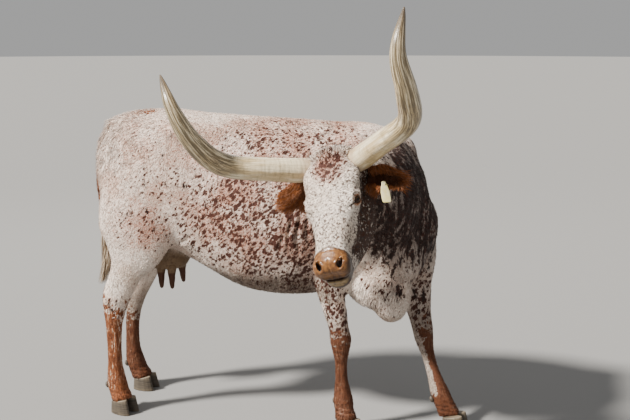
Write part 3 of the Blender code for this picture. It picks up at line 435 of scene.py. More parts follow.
class Graph:
    """The node tree of one material."""

    def __init__(self, name: str) -> None:
        """A new material of this name."""
        self.material = bpy.data.materials.new(name)
        self.material.use_nodes = True
        self.tree = self.material.node_tree
        self.surface = self.tree.nodes["Principled BSDF"]

    def node(self, kind: str, settings: dict, sockets: dict, output: int | str = 0) -> Signal:
        """One node.

        Args:
            kind: the node's type.
            settings: its properties, set before its sockets.
            sockets: values or signals by input name or number.
            output: which output is given back.

        Returns:
            The output as a signal.
        """
        made = self.tree.nodes.new(kind)
        for key, value in settings.items():
            setattr(made, key, value)
        for key, value in sockets.items():
            self.plug(made.inputs[key], value)
        return Signal(self, made.outputs[output])

    def plug(self, socket: NodeSocket, value: object) -> None:
        """A value or a signal on an input; a colour of three numbers gets a fourth."""
        if isinstance(value, Signal):
            self.tree.links.new(value.socket, socket)
        else:
            solid = socket.type == "RGBA" and isinstance(value, tuple) and len(value) == 3
            socket.default_value = (*value, 1.0) if solid else value

    def vector(self, operation: str, first: object, second: object) -> Signal:
        """A Vector Math node's vector."""
        return self.node("ShaderNodeVectorMath", {"operation": operation}, {0: first, 1: second})

    def scaled(self, vector: Signal, factors: tuple) -> Signal:
        """A vector with each of its numbers multiplied."""
        return self.vector("MULTIPLY", vector, factors)

    def dot(self, first: object, second: object) -> Signal:
        """Dot product."""
        return self.node("ShaderNodeVectorMath", {"operation": "DOT_PRODUCT"}, {0: first, 1: second}, "Value")

    def length(self, vector: Signal) -> Signal:
        """Length of a vector."""
        return self.node("ShaderNodeVectorMath", {"operation": "LENGTH"}, {0: vector}, "Value")

    def mapped(self, place: Signal, scale: tuple, slant: float | None = None) -> Signal:
        """A place with its axes scaled. With a slant they lean about Y, and the pattern is drawn
        out by the scale, not squeezed."""
        if slant is None:
            return self.node("ShaderNodeMapping", {}, {"Vector": place, "Scale": scale})
        sockets = {"Vector": place, "Rotation": (0.0, slant, 0.0), "Scale": scale}
        return self.node("ShaderNodeMapping", {"vector_type": "TEXTURE"}, sockets)

    def noise(self, place: Signal, scale: float, detail: float = 2.0, rough: float = 0.5) -> Signal:
        """Noise from 0 to 1 at a place."""
        sockets = {"Vector": place, "Scale": scale, "Detail": detail, "Roughness": rough}
        return self.node("ShaderNodeTexNoise", {}, sockets)

    def cells(self, place: Signal, scale: float, output: str = "Distance") -> Signal:
        """Distance to the nearest of scattered points, or its own chance colour."""
        return self.node("ShaderNodeTexVoronoi", {}, {"Vector": place, "Scale": scale}, output)

    def spots(self, place: Signal, scale: float, share: Signal, size: float) -> Signal:
        """Round spots about scattered points: each has a radius that grows with its own chance
        number and with the share, and none below a threshold.

        Args:
            place: where the pattern is read.
            scale: scattered points to a metre.
            share: 0 for no spots, 1 for spots about nearly all points.
            size: radius of the largest, in cells.

        Returns:
            One in a spot, zero outside.
        """
        chance = self.parts(self.cells(place, scale, "Color"))[0]
        radius = (chance + share * 0.92 - 0.93).step(0.0, 0.55) * size
        return (radius - self.cells(place, scale)).step(-0.015, 0.055)

    def mix(self, low: object, high: object, share: object) -> Signal:
        """Colours mixed by a share."""
        return self.node("ShaderNodeMix", {"data_type": "RGBA"}, {0: share, 6: low, 7: high}, 2)

    def over(self, base: object, *layers: tuple) -> Signal:
        """A colour with layers laid over it in turn, each a colour and its mask."""
        for colour, share in layers:
            base = self.mix(base, colour, share)
        return base

    def attribute(self, name: str) -> Signal:
        """A vector attribute of the mesh."""
        return self.node("ShaderNodeAttribute", {"attribute_name": name}, {}, "Vector")

    def marks(self, name: str) -> tuple:
        """The three numbers of a vector attribute."""
        return self.parts(self.attribute(name))

    def parts(self, vector: Signal) -> tuple:
        """The three numbers of a vector."""
        split = self.node("ShaderNodeSeparateXYZ", {}, {0: vector}).socket.node
        return tuple(Signal(self, output) for output in split.outputs)

    def place(self) -> Signal:
        """Object coordinates."""
        return self.node("ShaderNodeTexCoord", {}, {}, "Object")

    def bump(self, height: Signal, strength: float, distance: float) -> Signal:
        """Normal raised by a height."""
        return self.node("ShaderNodeBump", {}, {"Height": height, "Strength": strength, "Distance": distance})

    def finish(self, **sockets: object) -> Material:
        """Values or signals on the surface shader, named with underscores for spaces."""
        for key, value in sockets.items():
            self.plug(self.surface.inputs[key.replace("_", " ")], value)
        return self.material


# the animal's own frames


class Side(Enum):
    """The two sides of the animal."""

    LEFT = 1.0
    RIGHT = -1.0


@dataclass(frozen=True)
class HeadFrame:
    """Axes of the head: to its left, down its face and out of its face."""

    poll: tuple = (0.3696, -0.2676, 1.2805)
    heading: float = -91.7
    slope: float = 48.0
    roll: float = 14.5
    scale: float = 1.031

    def axes(self, turn: float = 0.0) -> Array:
        """Axes of the head in the world.

        Args:
            turn: degrees added to its heading.

        Returns:
            Rows: across to its left, down its face, out of its face.
        """
        heading, slope, roll = (math.radians(a) for a in (self.heading + turn, self.slope, self.roll))
        ahead = np.array([math.cos(heading), math.sin(heading), 0.0])
        left = np.array([-math.sin(heading), math.cos(heading), 0.0])
        up = np.array([0.0, 0.0, 1.0])
        across = left * math.cos(roll) + up * math.sin(roll)
        over = up * math.cos(roll) - left * math.sin(roll)
        down = math.cos(slope) * ahead - math.sin(slope) * over
        out = math.sin(slope) * ahead + math.cos(slope) * over
        return np.array([across, down, out])

    def world(self, places: Array, scale: float | None = None, turn: float = 0.0) -> Array:
        """World points from places in the head's frame, with another scale or a turn of its
        heading in degrees where given."""
        size = self.scale if scale is None else scale
        return np.array(self.poll) + np.asarray(places, float) @ self.axes(turn) * size

    def mirrored(self, place: tuple, side: Side) -> Array:
        """World point of a place on the left of the head, or of its mirror image."""
        return self.world((side.value * place[0], place[1], place[2]))

    def way(self, parts: tuple, side: Side) -> Array:
        """World way of parts along the axes, the first one outwards on that side."""
        across, down, out = self.axes()
        return across * parts[0] * side.value + down * parts[1] + out * parts[2]

    def local(self, points: Array) -> Array:
        """Places in the head's frame from world points."""
        return (points - np.array(self.poll)) @ self.axes().T / self.scale

    def mask(self, points: Array) -> Array:
        """One on the head, zero on neck and body: a soft slab across, above a slanting line from
        the poll to the throat."""
        u, v, w = self.local(points).T
        near = fall(np.abs(u), 0.125, 0.155) * smooth(v, -0.05, 0.0) * fall(v, 0.56, 0.6)
        return near * smooth(w + 0.17 + 0.62 * v, -0.035, 0.035) * smooth(w, -0.37, -0.33)


HEAD = HeadFrame()


@dataclass(frozen=True)
class EyeShape:
    """Eyeball and opening of the lids."""

    centre: tuple = (0.087, 0.211, -0.045)
    radius: float = 0.0195
    gaze: tuple = (0.82, 0.14, 0.56)
    opening: tuple = (0.0205, 0.0115)
    slant: float = 34.0
    tear: tuple = (0.998, 0.06)
    lid: float = 0.0022
    sink: float = 0.0065

    def frame(self, side: Side) -> tuple:
        """The eye in the world.

        Args:
            side: which eye.

        Returns:
            Centre, gaze, long way of the lids and way up across them.
        """
        down = HEAD.axes()[1]
        centre, gaze = HEAD.mirrored(self.centre, side), unit(HEAD.way(self.gaze, side))
        upright = unit(down - gaze * np.dot(down, gaze))
        inward = np.cross(upright, gaze) * side.value
        slant = math.radians(self.slant)
        long_way = upright * math.cos(slant) + inward * math.sin(slant)
        return centre, gaze, long_way, inward * math.cos(slant) - upright * math.sin(slant)


EYE = EyeShape()


def mouth_line(down: Array) -> Array:
    """Height out of the face of the line between the lips, at places down the face."""
    return np.interp(down, [0.372, 0.44, 0.52], [-0.098, -0.092, -0.082])


@dataclass(frozen=True)
class EarShape:
    """A cupped leaf on a short tube."""

    root: tuple = (0.098, 0.06, -0.105)
    ways: tuple = ((0.88, 0.4, 0.1), (0.92, 0.2, -0.1))
    facing: tuple = (0.1, 0.45, 0.9)
    length: float = 0.168
    width: float = 0.1
    curl: float = 0.035
    depth: float = 0.75
    stations: int = 64
    around: int = 72

    def axes(self, side: Side) -> tuple:
        """The ear in the world.

        Args:
            side: which ear.

        Returns:
            Root, way along it, way that the cup faces and way across it.
        """
        ahead = unit(HEAD.way(self.ways[0 if side is Side.LEFT else 1], side))
        facing = HEAD.way(self.facing, side)
        facing = unit(facing - ahead * np.dot(facing, ahead))
        return HEAD.mirrored(self.root, side), ahead, facing, np.cross(ahead, facing)

    def middle(self, side: Side, share: Array) -> Array:
        """Back of the middle line at shares of the length: straight, then curling back."""
        root, ahead, facing, _ = self.axes(side)
        t = np.asarray(share, float)[..., None]
        return root + ahead * t * self.length - facing * self.curl * np.maximum(t, 0) ** 2

    def half(self, share: Array) -> Array:
        """Half width of the leaf at shares of the length."""
        t = np.clip(share, 0.0, 1.0)
        leaf = np.minimum(1.0, 0.56 + 1.1 * t) * np.sqrt(np.maximum(1 - t**4, 0))
        return np.maximum(0.003, 0.5 * self.width * leaf)

    def rings(self, side: Side) -> Array:
        """Closed rings of the leaf: an arc for its back, then the same arc inwards by the wall for
        its hollow, which closes towards the root. The edge waves a little and has a low fold.

        Args:
            side: which ear.

        Returns:
            Places, stations by around by 3.
        """
        _, _, facing, beside = self.axes(side)
        share = np.linspace(-0.2, 1.0, self.stations)[:, None]
        t = np.maximum(share, 0.0)
        half = self.half(share)
        bend = 1.3 - 0.45 * t
        wall = 0.0035 + 0.006 * (1 - t) ** 3
        cup = np.clip(share / 0.25, 0.0, 1.0)
        n = self.around // 2
        across = np.linspace(-1.0, 1.0, n)[None, :]
        waved = 1 + 0.03 * np.sin(13 * share + 2.0) * np.abs(across) ** 3
        angle = bend * across
        back_x = half * waved * np.sin(angle) / np.sin(bend)
        back_y = -half * self.depth * (np.cos(angle) - np.cos(bend))
        angle = -angle
        front_x = half * waved * 0.95 * np.sin(angle) / np.sin(bend)
        fold = 0.0035 * np.sin(9 * across + 1.5) * (1 - across**2) * cup
        hollow = -half * self.depth * (np.cos(angle) - np.cos(bend)) + wall + fold * (1 - t)
        shut = half * 0.55 * np.cos(angle * 1.57 / bend) ** 2 + 0.004
        front_y = hollow * cup + shut * (1 - cup)
        x = np.concatenate([back_x, front_x], 1)[..., None]
        y = np.concatenate([back_y, front_y], 1)[..., None]
        return self.middle(side, share[:, 0])[:, None, :] + beside * x + facing * y

    def tone(self, points: Array, side: Side) -> Array:
        """How red-brown the ear is: least in the middle of the hollow, darkened there as painted shade,
        most at rim and tip.

        Args:
            points: places, n by 3.
            side: which ear.

        Returns:
            The mask of the ear times its tone.
        """
        root, ahead, _, beside = self.axes(side)
        share = (points - root) @ ahead / self.length
        off = np.abs((points - self.middle(side, np.clip(share, 0.0, 1.0))) @ beside)
        rim = smooth(off / self.half(share), 0.35, 0.95)
        # the left ear's hollow takes more painted shade than the right's
        least = 0.6 if side is Side.LEFT else 0.72
        return self.mask(points, side) * (least + (1 - least) * np.maximum(rim, smooth(share, 0.75, 1.0)))

    def mask(self, points: Array, side: Side) -> Array:
        """Where the ear is.

        Args:
            points: places, n by 3.
            side: which ear.

        Returns:
            One on the leaf and just round it, zero on the head.
        """
        root, ahead, _, _ = self.axes(side)
        share = (points - root) @ ahead / self.length
        off = points - self.middle(side, np.clip(share, -0.05, 1.0))
        reach = np.linalg.norm(off, axis=1) - 1.16 * self.half(share)
        outer = np.abs(HEAD.local(points)[:, 0])
        near = fall(reach, 0.005, 0.012) * smooth(share, 0.04, 0.14) * fall(share, 1.04, 1.1)
        return near * smooth(outer, 0.1, 0.118)


EAR = EarShape()


# the skin


class Kind(Enum):
    """What a mark is made of."""

    FLECKS = "flecks"
    DARK = "dark"
    ROAN = "roan"
    RED = "red"


@dataclass(frozen=True)
class Mark:
    """One region of the markings: centre, radii and how much."""

    centre: tuple
    radii: tuple
    amount: float


MARKS = {
    # ribs, flank, shoulder and upper fore leg
    Kind.FLECKS: (
        Mark((0.03, 0.19, 0.94), (0.38, 0.8, 0.33), 1.25),
        Mark((0.16, 0.19, 0.84), (0.24, 0.6, 0.32), 1.1),
        Mark((-0.2, 0.19, 0.92), (0.26, 0.8, 0.28), 0.8),
        Mark((0.1, 0.19, 1.2), (0.42, 0.48, 0.22), 0.66),
        Mark((-0.42, 0.19, 0.98), (0.28, 0.6, 0.28), 0.38),
        Mark((-0.56, 0.19, 0.9), (0.16, 0.6, 0.13), 0.45),
        Mark((0.3, 0.08, 0.48), (0.13, 0.15, 0.28), 0.82),
        Mark((-0.72, 0.02, 0.47), (0.12, 0.1, 0.12), 0.42),
        Mark((0.58, 0.24, 1.0), (0.26, 0.34, 0.34), 0.8),
        Mark((-0.6, 0.19, 1.15), (0.34, 0.6, 0.34), 0.2),
        Mark((0.5, 0.08, 0.66), (0.16, 0.18, 0.16), 0.46),
        Mark((0.42, 0.44, 0.94), (0.26, 0.2, 0.36), 0.85),
        Mark((0.56, 0.36, 0.66), (0.16, 0.16, 0.26), 0.8),
        Mark((0.64, 0.3, 0.58), (0.14, 0.14, 0.26), 1.0),
    ),
    # patches of shoulder and neck beyond the head: dark hair, laid dense as painted shade of the
    # shaded shoulder and neck
    Kind.DARK: (
        Mark((0.6, 0.08, 1.06), (0.28, 0.26, 0.34), 1.1),
        Mark((0.62, 0.3, 0.98), (0.24, 0.3, 0.36), 0.92),
        Mark((0.58, -0.04, 0.92), (0.17, 0.2, 0.28), 0.92),
        Mark((0.52, 0.06, 1.2), (0.18, 0.24, 0.16), 0.9),
        Mark((0.57, 0.14, 1.24), (0.16, 0.2, 0.15), 0.88),
        Mark((0.64, 0.3, 0.62), (0.14, 0.16, 0.24), 0.42),
        Mark((0.568, 0.08, 0.69), (0.042, 0.055, 0.075), 0.62),
        Mark((0.48, -0.15, 1.08), (0.15, 0.2, 0.22), 0.85),
    ),
    # back, ribs and thigh
    Kind.ROAN: (
        Mark((0.0, 0.19, 1.06), (0.52, 0.7, 0.42), 1.05),
        Mark((-0.56, 0.19, 0.9), (0.19, 0.6, 0.14), 1.3),
        Mark((-0.48, 0.19, 1.14), (0.48, 0.6, 0.4), 0.55),
        Mark((0.25, 0.2, 1.28), (0.28, 0.26, 0.16), 0.8),
        Mark((-0.58, 0.19, 1.34), (0.24, 0.3, 0.1), 0.55),
    ),
    # tail head, withers, hocks and the stretch of the tail
    Kind.RED: (
        Mark((-0.6, 0.19, 1.372), (0.09, 0.06, 0.034), 0.52),
        Mark((0.235, 0.29, 1.35), (0.1, 0.07, 0.04), 0.44),
        Mark((-0.775, 0.041, 0.56), (0.045, 0.04, 0.09), 0.62),
        Mark((-0.815, 0.341, 0.56), (0.045, 0.04, 0.09), 0.62),
        Mark((-0.87, 0.191, 1.02), (0.04, 0.06, 0.12), 0.85),
    ),
}


@dataclass(frozen=True)
class Fold:
    """A crease from one place to another, with a soft roll beside it and painted shade along it."""

    start: tuple
    end: tuple
    depth: float
    width: float
    roll: float
    spread: float
    # darkness of the painted shade along the crease
    paint: float = 0.0

    def field(self, points: Array) -> tuple:
        """The crease as points see it: a segment that bends a little along its length.

        Args:
            points: places, n by 3.

        Returns:
            Distance from the crease, how far a point counts for it, and the side it is on.
        """
        start, end = np.array(self.start), np.array(self.end)
        way = end - start
        share = np.clip((points - start) @ way / (way @ way), 0, 1)
        bent = 0.01 * np.sin(share * 7.0 + start[0] * 40)[:, None] * np.array([1.0, 0.0, 0.0])
        off = points - (start + share[:, None] * way + bent)
        reach = np.linalg.norm(off * np.array([1.0, 0.45, 1.0]), axis=1)
        ends = smooth(share, 0.0, 0.15) * fall(share, 0.8, 1.0)
        return reach, ends * fall(np.abs(off[:, 1]), 0.1, 0.16), np.sign(off[:, 0])


FOLDS = (
    Fold((0.17, 0.075, 1.18), (0.232, 0.28, 1.345), 0.011, 0.008, 0.0065, 0.024, 0.75),
    Fold((0.1, -0.02, 1.03), (0.088, -0.01, 0.8), 0.009, 0.0075, 0.005, 0.018, 0.45),
    Fold((0.137, -0.02, 1.06), (0.127, -0.01, 0.83), 0.013, 0.009, 0.006, 0.018, 1.0),
    Fold((0.172, -0.01, 1.04), (0.16, 0.0, 0.77), 0.011, 0.008, 0.0055, 0.018, 0.8),
    Fold((0.205, 0.0, 1.0), (0.205, 0.01, 0.78), 0.009, 0.008, 0.005, 0.018, 0.6),
    Fold((-0.33, 0.01, 0.86), (-0.42, 0.05, 0.79), 0.007, 0.01, 0.0055, 0.022, 0.3),
    Fold((0.56, 0.11, 0.83), (0.585, 0.16, 0.6), 0.008, 0.01, 0.006, 0.022, 0.45),
    Fold((0.48, 0.02, 0.8), (0.53, 0.09, 0.6), 0.007, 0.011, 0.006, 0.022, 0.3),
)


@dataclass
class Skin:
    """One closed skin over the whole body, made from merged copies of the solids of flesh.

    The copies are remeshed as one, refined on the head, laid inside the solids by the depth of
    the coat and shaped in the head's own frame: lids, nostrils, lips. Ears and teats join it.
    """

    legs: tuple = ("leg_fore_left", "leg_fore_right", "leg_hind_left", "leg_hind_right")
    flesh: tuple = ("torso", "neck", "head", *legs, "tail", "udder")
    eyes: tuple = ("eye_left", "eye_right")
    body_voxel: float = 0.0092
    head_voxel: float = 0.0042
    body_grow: float = 0.0005
    head_grow: float = 0.0016
    head_sink: float = 0.0012
    fine_eye: tuple = (0.05, 0.032)
    fine_muzzle: float = 0.098
    muzzle: tuple = (0.0, 0.455, -0.075)
    body_depth: float = 0.005
    head_depth: float = 0.0022
    nostril: tuple = (0.04, 0.466)
    nostril_half: tuple = (0.009, 0.0175)
    nostril_turn: float = 30.0
    teats: tuple = (-0.53, -0.478)
    udder_level: float = 0.668
    triangles: int = 190000

    def build(self) -> Object:
        """The skin as one object with its markings and its unwrap."""
        rough = merged_copy([*self.flesh, *self.eyes], self.body_grow)
        skin = remeshed(rough, self.body_voxel, "skin")
        points, _ = arrays(skin.data)
        set_points(skin.data, relaxed(skin.data, points, 10))
        self._refine(skin)
        self._fit_head(skin)
        self._shape(skin)
        self._trim(skin)
        for side in Side:
            self._unite(skin, tube("leaf", EAR.rings(side)))
            for along in self.teats:
                self._unite(skin, tube("teat", self._teat(along, side.value)))
        self._thin(skin)
        self._unwrap(skin)
        self._mark(skin)
        return skin

    def _refine(self, skin: Object) -> None:
        """Finer faces: head, then muzzle and eyes, then lids, each by halving edges once more."""
        work = bmesh.new()
        work.from_mesh(skin.data)
        eyes = [Vector(EYE.frame(side)[0]) for side in Side]
        muzzle = Vector(HEAD.world(self.muzzle))

        def on_head(middle: Vector) -> bool:
            """Inside a box round the head."""
            u, v, w = HEAD.local(np.array(middle)[None, :])[0]
            return abs(u) < 0.15 and -0.06 < v < 0.62 and -0.34 < w < 0.12

        def near_eye(middle: Vector, reach: float) -> bool:
            """Within reach of an eye."""
            return min((middle - eye).length for eye in eyes) < reach

        wide, close = self.fine_eye
        for wanted in (
            on_head,
            lambda middle: near_eye(middle, wide) or (middle - muzzle).length < self.fine_muzzle,
            lambda middle: near_eye(middle, close),
        ):
            chosen = [face for face in work.faces if wanted(face.calc_center_median())]
            edges = list({edge for face in chosen for edge in face.edges})
            bmesh.ops.subdivide_edges(work, edges=edges, cuts=1, use_grid_fill=True)
        bmesh.ops.triangulate(work, faces=[f for f in work.faces if len(f.verts) > 4])
        work.to_mesh(skin.data)
        work.free()

    def _fit_head(self, skin: Object) -> None:
        """Lays the refined head on a finer remesh of the same solids."""
        fine = remeshed(merged_copy(["neck", "head", *self.eyes], self.head_grow), self.head_voxel, "fine")
        points, _ = arrays(fine.data)
        points = points - normals_of(fine.data) * self.head_sink
        set_points(fine.data, relaxed(fine.data, points, 8))
        places, _ = arrays(skin.data)
        weight = HEAD.mask(places)
        group = skin.vertex_groups.new(name="fit")
        steps = 8
        for step in range(1, steps + 1):
            chosen = np.where(np.round(weight * steps).astype(int) == step)[0]
            group.add([int(i) for i in chosen], step / steps, "REPLACE")
        wrap = skin.modifiers.new("fit", "SHRINKWRAP")
        wrap.target, wrap.vertex_group, wrap.wrap_method = fine, "fit", "NEAREST_SURFACEPOINT"
        points, _ = arrays(applied(skin))
        skin.vertex_groups.clear()
        set_points(skin.data, relaxed(skin.data, points, 3, weight))
        bpy.data.objects.remove(fine)

    def _shape(self, skin: Object) -> None:
        """Coat depth, then the forms of body and head."""
        points, _ = arrays(skin.data)
        normals = normals_of(skin.data)
        local = HEAD.local(points)
        face = HEAD.mask(points)
        foot = fall(points[:, 2], 0.16, 0.42)
        depth = self.body_depth + (self.head_depth - self.body_depth) * face
        depth = depth * (1 - 0.72 * foot)
        bare = fall(local[:, 1], 0.4, 0.44)
        depth = np.where(face > 0.5, depth * (0.3 + 0.7 * bare), depth)
        points = points - normals * depth[:, None]
        points = points + normals * self._body_forms(points)[:, None]
        points = self._legs(points, normals)
        points = self._eyelids(points, normals)
        points = self._muzzle(points, normals)
        set_points(skin.data, points)

    def _body_forms(self, points: Array) -> Array:
        """Height of folds, ribs and small muscle over the body: each fold is a bell-shaped dip
        along a segment with a wider bell beside it; ribs are sine waves along the flank.

        Args:
            points: places, n by 3.

        Returns:
            Heights along the normals.
        """
        height = np.zeros(len(points))
        for fold in FOLDS:
            reach, near, side = fold.field(points)
            roll = fold.roll * ridge(reach - fold.spread * 0.8, fold.spread * 0.6) * (0.7 + 0.3 * side)
            height += (roll - fold.depth * ridge(reach, fold.width)) * near
        x, _, z = points.T
        trunk = band(x, (-0.62, -0.4), (0.35, 0.5)) * smooth(z, 0.62, 0.75)
        ribs = wave(x + 0.25 * z, 0.085)
        window = band(x, (-0.3, -0.16), (0.05, 0.2)) * smooth(z, 0.8, 0.9) * fall(z, 1.12, 1.25)
        height += 0.0013 * ribs * window
        height += 0.0016 * ripple(points, 0.11, 3) * trunk + 0.001 * ripple(points, 0.05, 5) * trunk
        neck = bulge(points, (0.52, 0.05, 1.0), (0.25, 0.3, 0.36))
        stretch = points * np.array([1.0, 1.0, 0.25])
        height += 0.0035 * ripple(stretch, 0.05, 8) * neck
        return height

    def _legs(self, points: Array, normals: Array) -> Array:
        """Tendon grooves down the cannons, and creases round the pasterns and on the knees: level
        sine waves under a mask.

        Args:
            points: places, n by 3.
            normals: their normals.

        Returns:
            The moved points.
        """
        z = points[:, 2]
        cannon = band(z, (0.13, 0.2), (0.34, 0.44))
        rear = band(-normals[:, 0], (-0.55, -0.05), (0.1, 0.55))
        side = np.abs(normals[:, 1]) > 0.3
        groove = -0.003 * cannon * rear * side
        pastern = band(z, (0.07, 0.09), (0.12, 0.14))
        crease = 0.0012 * np.sin(z * TAU / 0.018 + 2 * normals[:, 0]) * pastern
        knee = bulge(points, (0.33, 0.11, 0.39), (0.07, 0.07, 0.06))
        knee = knee + bulge(points, (0.64, 0.35, 0.37), (0.07, 0.07, 0.06))
        crease = crease + 0.001 * np.sin(z * TAU / 0.021 + points[:, 0] * 30) * np.clip(knee, 0, 1)
        return points + normals * (groove + crease)[:, None]

    def _eyelids(self, points: Array, normals: Array) -> Array:
        """Lids on each eyeball: the skin is drawn onto a ball a lid's thickness larger than the
        eye, and inside an almond opening it drops behind the eye's front. Arcs above and below
        are pressed in as the folds of the lids.

        Args:
            points: places, n by 3.
            normals: their normals.

        Returns:
            The moved points.
        """
        for side in Side:
            centre, gaze, long_way, high = EYE.frame(side)
            off = points - centre
            a, b, d = off @ long_way, off @ high, off @ gaze
            flat = np.hypot(a, b)
            near = fall(flat, 0.014, 0.031) * (d > 0)
            way = unit(off)
            length, height = EYE.opening
            span = np.clip(1 - (a / length) ** 2, 0, 1) ** 0.72
            upper, lower = height * 1.08 * span, height * 0.92 * span
            edge = np.where(b > 0, upper, lower)
            gap = np.abs(b) - edge
            gap = np.where(np.abs(a) > length, np.maximum(gap, np.abs(a) - length), gap)
            lid = EYE.radius + EYE.lid + 0.0014 * ridge(gap - 0.0022, 0.0022)
            lid = lid - 0.0022 * ridge(gap - 0.0085, 0.0018) * (b > 0)
            lid = lid - 0.001 * ridge(gap - 0.007, 0.0018) * (b < 0)
            target = centre + way * lid[:, None]
            points = points + (target - points) * near[:, None]
            inside = fall(gap, -0.0011, 0.0004) * (d > 0) * (flat < 0.03)
            behind = centre + way * (EYE.radius - EYE.sink)
            points = points + (behind - points) * inside[:, None]
            arcs = wave(gap - 0.01, 0.0065) * smooth(gap, 0.01, 0.013) * fall(gap, 0.022, 0.03)
            front = d > -0.01
            brow = 0.0014 * arcs * (b > -0.004) * front
            brow = brow + 0.004 * ridge(gap - 0.015, 0.008) * (b > 0.006) * front
            points = points + normals * (brow * (flat < 0.05))[:, None]
            along = a * EYE.tear[0] + b * EYE.tear[1]
            beside = b * EYE.tear[0] - a * EYE.tear[1]
            groove = ridge(beside, 0.0036) * smooth(along, 0.018, 0.024) * fall(along, 0.05, 0.072)
            points = points - normals * (0.003 * groove * (d > -0.03))[:, None]
        return points

    def _muzzle(self, points: Array, normals: Array) -> Array:
        """Nostrils, lips, the line of the mouth and the groove of the nose, all in the head's
        frame: dips and ridges that are bell curves of the distance to their lines.

        Args:
            points: places, n by 3.
            normals: their normals.

        Returns:
            The moved points.
        """
        local = HEAD.local(points)
        u, v, w = local.T
        front = smooth(v, 0.36, 0.4) * (np.abs(u) < 0.12) * (w > -0.2)
        out = HEAD.axes()[2]
        turn = math.radians(self.nostril_turn)
        for sign in (-1.0, 1.0):
            x, y = u * sign - self.nostril[0], v - self.nostril[1]
            p = x * math.cos(turn) + y * math.sin(turn)
            q = -x * math.sin(turn) + y * math.cos(turn)
            wide = self.nostril_half[0] * (0.95 + 0.38 * q / self.nostril_half[1])
            reach = np.hypot(p / np.maximum(wide, 0.003), q / self.nostril_half[1])
            hollow = fall(reach, 0.7, 1.02) * (w > -0.075) * front
            rim = ridge(reach - 1.28, 0.26) * front * (w > -0.085)
            points = points - np.outer(hollow * 0.012, out) + normals * (rim * 0.0026)[:, None]
        line = mouth_line(v)
        corner = smooth(v, 0.366, 0.38)
        gap = w - line
        lips = 0.0042 * ridge(gap - 0.009, 0.007) + 0.0034 * ridge(gap + 0.009, 0.007)
        shape = (lips - 0.0085 * ridge(gap, 0.0026)) * corner * front
        groove = -0.0022 * ridge(u, 0.003) * smooth(v, 0.445, 0.465) * (w > line)
        chin = 0.003 * bulge(local, (0.0, 0.47, -0.135), (0.05, 0.05, 0.03))
        border = -0.0012 * ridge(v - 0.418 - 0.3 * u * u / 0.06, 0.0035) * (w > -0.09) * front
        return points + normals * (shape + groove * front + chin + border)[:, None]

    def _trim(self, skin: Object) -> None:
        """The udder's own flesh ends at a level where the teats begin."""
        points, _ = arrays(skin.data)
        x, y, z = points.T
        zone = (np.abs(x + 0.52) < 0.11) & (np.abs(y - 0.193) < 0.095) & (z > 0.55) & (z < self.udder_level)
        points[zone, 2] = self.udder_level + 0.1 * (z[zone] - self.udder_level)
        set_points(skin.data, points)

    def _teat(self, along: float, sign: float) -> Array:
        """Rings of one teat: level circles, wide in the bag, slim, then a blunt round tip.

        Args:
            along: place of its root along the spine.
            sign: 1 on the left, -1 on the right.

        Returns:
            Places, rings by corners by 3.
        """
        share = np.linspace(0, 1, 30)
        reach = np.array([0.0, 0.22, 0.45, 0.8, 0.92, 0.98, 1.0])
        radius = np.interp(share, reach, [0.026, 0.0205, 0.016, 0.0115, 0.0092, 0.006, 0.0012])
        angle = full_turn(28)[None, :]
        lean = np.stack([0.006 * share, sign * 0.01 * share, -0.112 * share], 1)
        middle = np.array([along, 0.193 + sign * 0.054, 0.688]) + lean
        pucker = radius[:, None] * (1 + 0.03 * np.sin(5 * angle + 20 * share[:, None]))
        flat = np.stack([np.cos(angle) * pucker, np.sin(angle) * pucker, 0 * pucker], 2)
        return middle[:, None, :] + flat

    def _unite(self, skin: Object, piece: Object) -> None:
        """A closed piece sunk in the skin becomes one surface with it."""
        union = skin.modifiers.new("union", "BOOLEAN")
        union.operation, union.solver, union.object = "UNION", "MANIFOLD", piece
        mesh = applied(skin)
        if len(mesh.vertices) > len(skin.data.vertices):
            skin.data = mesh
        else:
            LOG.warning("%s didn't join", piece.name)
        bpy.data.objects.remove(piece)

    def _thin(self, skin: Object) -> None:
        """Brings the skin to its number of triangles by collapsing edges where it is even."""
        skin.data.calc_loop_triangles()
        fewer = skin.modifiers.new("fewer", "DECIMATE")
        fewer.ratio = min(1.0, self.triangles / len(skin.data.loop_triangles))
        fewer.use_collapse_triangulate = True
        skin.data = applied(skin)
        skin.data.shade_smooth()

    def _unwrap(self, skin: Object) -> None:
        """The skin's own unwrap, from which each tuft takes its patch."""
        bpy.ops.object.select_all(action="DESELECT")
        bpy.context.view_layer.objects.active = skin
        skin.select_set(True)
        skin.data.uv_layers.new(name=BAKE_MAP)
        bpy.ops.object.mode_set(mode="EDIT")
        bpy.ops.mesh.select_all(action="SELECT")
        bpy.ops.uv.smart_project(angle_limit=math.radians(70), island_margin=0.001)
        bpy.ops.object.mode_set(mode="OBJECT")

    def _mark(self, skin: Object) -> None:
        """Markings as vectors on the corners."""
        points, _ = arrays(skin.data)
        for name, values in markings(points).items():
            set_vectors(skin.data, name, values)


